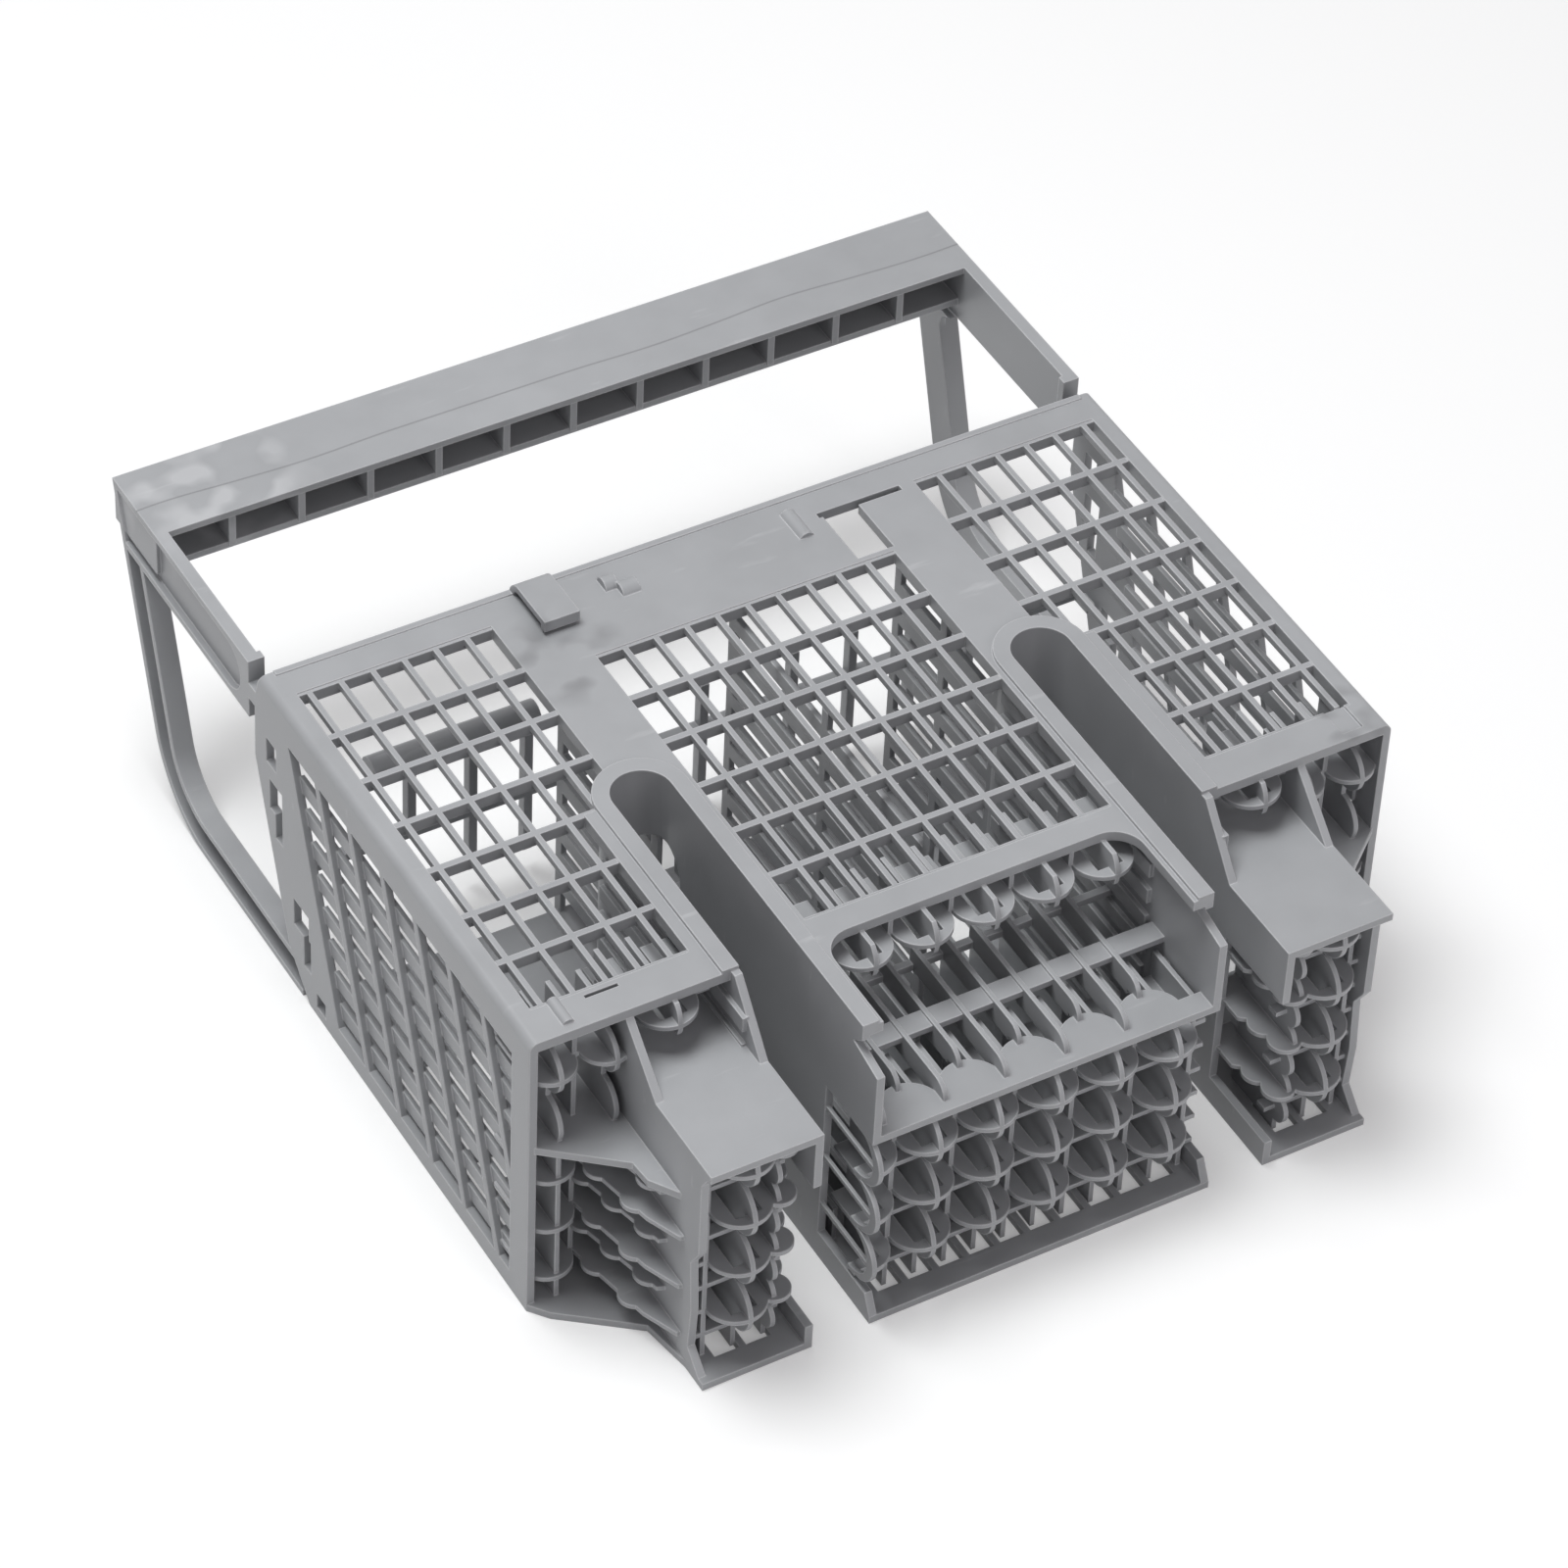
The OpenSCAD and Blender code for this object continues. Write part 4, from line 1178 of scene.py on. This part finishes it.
class BasketPlasticSettings(bpy.types.PropertyGroup):
    """Surface of the moulded plastic."""

    colour: FloatVectorProperty(
        name="Plastic Colour", description="Body colour of the moulded plastic", subtype="COLOR", size=4,
        min=0.0, max=1.0, default=(0.345, 0.352, 0.365, 1.0))
    # paler colour of real scuffs, also used for the painted highlight on edges and the painted sheen at the handle's
    # left end
    wear_and_highlight_colour: FloatVectorProperty(
        name="Wear And Highlight Colour", description="Paler tone of scuffs, and of the painted highlight on edges and painted sheen on the handle", subtype="COLOR",
        size=4, min=0.0, max=1.0, default=(0.60, 0.605, 0.62, 1.0))
    # dark colour of the painted shadow by the hook, of a dark patch at the right leg and of the parting line
    shadow_and_mark_colour: FloatVectorProperty(
        name="Shadow And Mark Colour", description="Darker tone of the painted shadow by the hook, of a dark patch and of the parting line", subtype="COLOR",
        size=4, min=0.0, max=1.0, default=(0.12, 0.12, 0.125, 1.0))
    roughness: FloatProperty(
        name="Roughness", description="Gloss of the moulded skin", min=0.05, max=1.0, default=0.4)
    mottle: FloatProperty(
        name="Mottle", description="Strength of the slow changes in tone", min=0.0, max=1.0, default=0.3)
    grain: FloatProperty(
        name="Grain", description="Height of the fine moulded grain", min=0.0, max=0.001, default=0.00002,
        precision=6, subtype="DISTANCE", unit="LENGTH")
    # painted highlight: how much paler the moulded edges are painted
    edge_highlight: FloatProperty(
        name="Edge Highlight", description="How much paler the edges are", min=0.0, max=1.0, default=1.0)
    edge_radius: FloatProperty(
        name="Edge Radius", description="Radius that the edges are shaded with", min=0.0, max=0.002,
        default=0.0006, precision=5, subtype="DISTANCE", unit="LENGTH")


class BasketStageSettings(bpy.types.PropertyGroup):
    """Floor, lights and sky."""

    floor_colour: FloatVectorProperty(
        name="Floor Colour", description="Colour of the plain floor", subtype="COLOR", size=4, min=0.0, max=1.0,
        default=(0.80, 0.80, 0.80, 1.0))
    floor_glow: FloatProperty(
        name="Floor Glow", description="Light that only the camera sees on the floor, to bring it to white", min=0.0,
        max=1.0, default=0.24)
    key_power: FloatProperty(
        name="Key Power", description="Power of the large soft light", min=0.0, max=500.0, default=18.5,
        subtype="POWER", unit="POWER")
    fill_power: FloatProperty(
        name="Fill Power", description="Power of the light from the other side", min=0.0, max=500.0, default=4.5,
        subtype="POWER", unit="POWER")
    sky: FloatProperty(
        name="Sky Strength", description="Strength of the even light from all round", min=0.0, max=5.0, default=0.23)


# Operators


def start_piece(name, parts):
    """Join a list of solids and name the result, for the moulding to be put together from."""
    piece = join(parts)
    piece.name = name
    return piece


class BASKET_OT_build_shell(bpy.types.Operator):
    """Build the basket's walls, grilles, dividers, mouth grid and hook"""

    bl_idname = "basket.build_shell"
    bl_label = "Build Shell"

    def execute(self, context):
        start_piece("shell", [shell(read_sizes(context))])
        return {"FINISHED"}


class BASKET_OT_build_legs(bpy.types.Operator):
    """Build the three legs with their steps and the fin lattice"""

    bl_idname = "basket.build_legs"
    bl_label = "Build Legs"

    def execute(self, context):
        s = read_sizes(context)
        start_piece("middle_leg", middle_lattice(s) + [middle_step_plate(s)] + recess_floor(s))
        start_piece("outer_legs", both_sides(join(outer_lattice(s) + outer_leg(s))))
        return {"FINISHED"}


class BASKET_OT_build_handle(bpy.types.Operator):
    """Build the handle bar and its side arms"""

    bl_idname = "basket.build_handle"
    bl_label = "Build Handle"

    def execute(self, context):
        s = read_sizes(context)
        start_piece("handle", both_sides(join(side_arms(s))) + [handle_bar_joined(s)])
        return {"FINISHED"}


def handle_bar_joined(s):
    """Return the handle bar as one solid."""
    return join(handle_bar(s))


class BASKET_OT_join_moulding(bpy.types.Operator):
    """Join the parts into the one-piece moulding, in the frame's place, and give it its plastic"""

    bl_idname = "basket.join_moulding"
    bl_label = "Join Moulding"

    def execute(self, context):
        if "basket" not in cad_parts:
            raise RuntimeError("the frame has no basket")
        s = read_sizes(context)
        tray = workshop()
        moulding = join([tray.objects[name] for name in ("shell", "middle_leg", "outer_legs", "handle")])
        mesh = moulding.data
        mesh.transform(Matrix.Scale(MM, 4) @ Matrix.Translation((0.0, -s.handle_far / 2, 0.0)))
        mesh.materials.clear()
        mesh.materials.append(plastic_material(context.scene.basket_plastic, s))
        mesh.shade_smooth()
        mesh.set_sharp_from_angle(angle=math.radians(28))
        moulding.name = "moulding"
        mesh.name = "moulding"
        context.scene.collection.objects.link(moulding)
        bpy.data.collections.remove(tray)
        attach(moulding, "root")
        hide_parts("basket")
        return {"FINISHED"}


def area_light(name, place, target, size, power, colour):
    """Add a square area light that looks at target."""
    data = bpy.data.lights.new(name, "AREA")
    data.size = size
    data.energy = power
    data.color = colour
    lamp = bpy.data.objects.new(name, data)
    lamp.location = place
    lamp.rotation_euler = (Vector(target) - Vector(place)).to_track_quat("-Z", "Y").to_euler()
    bpy.context.scene.collection.objects.link(lamp)
    return lamp


def seen_directly(tree):
    """Return 1 for camera, glossy and transmission rays."""
    path = tree.nodes.new("ShaderNodeLightPath")
    seen = add_math(tree, "MAXIMUM", path.outputs["Is Camera Ray"], path.outputs["Is Glossy Ray"])
    return add_math(tree, "MAXIMUM", seen, path.outputs["Is Transmission Ray"])


def floor_material(settings):
    """Plain pale floor that comes out nearly white to the camera and keeps the basket's shadow."""
    material = bpy.data.materials.new("Floor")
    material.use_nodes = True
    tree = material.node_tree
    shader = tree.nodes["Principled BSDF"]
    shader.inputs["Base Color"].default_value = settings.floor_colour
    shader.inputs["Roughness"].default_value = 0.9
    shader.inputs["Specular IOR Level"].default_value = 0.1
    shader.inputs["Emission Color"].default_value = (1.0, 1.0, 1.0, 1.0)
    glow = add_math(tree, "MULTIPLY", seen_directly(tree), settings.floor_glow)
    tree.links.new(glow, shader.inputs["Emission Strength"])
    return material


def studio_world(settings):
    """Even pale sky that shows white where it is seen directly."""
    world = bpy.data.worlds.new("Studio")
    world.use_nodes = True
    tree = world.node_tree
    sky = tree.nodes["Background"]
    sky.inputs["Color"].default_value = (1.0, 0.97, 0.99, 1.0)
    seen = seen_directly(tree)
    even = add_math(tree, "MULTIPLY", add_math(tree, "SUBTRACT", 1.0, seen), settings.sky)
    tree.links.new(add_math(tree, "ADD", seen, even), sky.inputs["Strength"])
    return world


class BASKET_OT_build_stage(bpy.types.Operator):
    """Build the floor, the lights and the camera of the photograph"""

    bl_idname = "basket.build_stage"
    bl_label = "Build Stage"

    def execute(self, context):
        scene = context.scene
        settings = scene.basket_stage
        mesh = bpy.data.meshes.new("floor")
        reach = 6.0
        mesh.from_pydata(
            [(-reach, -reach, 0.0), (reach, -reach, 0.0), (reach, reach, 0.0), (-reach, reach, 0.0)], [],
            [(0, 1, 2, 3)])
        mesh.materials.append(floor_material(settings))
        floor = bpy.data.objects.new("floor", mesh)
        scene.collection.objects.link(floor)

        aim = (0.0, 0.0, 0.04)
        area_light("key", (-0.3, 0.2, 1.5), aim, 0.7, settings.key_power, (0.985, 1.0, 1.0))
        area_light("fill", (0.15, -1.35, 0.75), aim, 0.9, settings.fill_power, (1.0, 0.98, 1.0))
        scene.world = studio_world(settings)
        scene.view_settings.view_transform = "Standard"

        data = bpy.data.cameras.new("camera")
        data.sensor_width = 36.0
        data.lens = 149.29
        data.shift_x = -0.0502
        data.shift_y = -0.0183
        data.clip_start = 0.05
        data.clip_end = 30.0
        camera = bpy.data.objects.new("camera", data)
        camera.location = (-0.62746, -1.02516, 1.18694)
        camera.rotation_euler = tuple(math.radians(a) for a in (46.7309, -2.6091, -30.0232))
        scene.collection.objects.link(camera)
        scene.camera = camera
        return {"FINISHED"}


STEPS = (
    BASKET_OT_build_shell, BASKET_OT_build_legs, BASKET_OT_build_handle, BASKET_OT_join_moulding,
    BASKET_OT_build_stage)


class BASKET_PT_panel(bpy.types.Panel):
    """Settings and steps of the basket"""

    bl_label = "Cutlery Basket"
    bl_idname = "BASKET_PT_panel"
    bl_space_type = "VIEW_3D"
    bl_region_type = "UI"
    bl_category = "Basket"

    def draw(self, context):
        layout = self.layout
        for name in SIZE_GROUPS + ("basket_plastic", "basket_stage"):
            group = getattr(context.scene, name)
            column = layout.column(align=True)
            for key in own_keys(group):
                column.prop(group, key)
        for step in STEPS:
            layout.operator(step.bl_idname)


GROUPS = {
    "basket_body": BasketBodySizes, "basket_feet": BasketFootSizes, "basket_handle": BasketHandleSizes,
    "basket_plastic": BasketPlasticSettings, "basket_stage": BasketStageSettings}


def register():
    for group in GROUPS.values():
        bpy.utils.register_class(group)
    for name, group in GROUPS.items():
        setattr(bpy.types.Scene, name, PointerProperty(type=group))
    for cls in STEPS + (BASKET_PT_panel,):
        bpy.utils.register_class(cls)


def unregister():
    for cls in (BASKET_PT_panel,) + STEPS[::-1]:
        bpy.utils.unregister_class(cls)
    for name, group in reversed(GROUPS.items()):
        delattr(bpy.types.Scene, name)
        bpy.utils.unregister_class(group)


def main():
    """Build and dress the basket and build the stage."""
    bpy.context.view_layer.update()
    register()
    bpy.ops.basket.build_shell()
    bpy.ops.basket.build_legs()
    bpy.ops.basket.build_handle()
    bpy.ops.basket.join_moulding()
    bpy.ops.basket.build_stage()


if __name__ == "__main__":
    main()
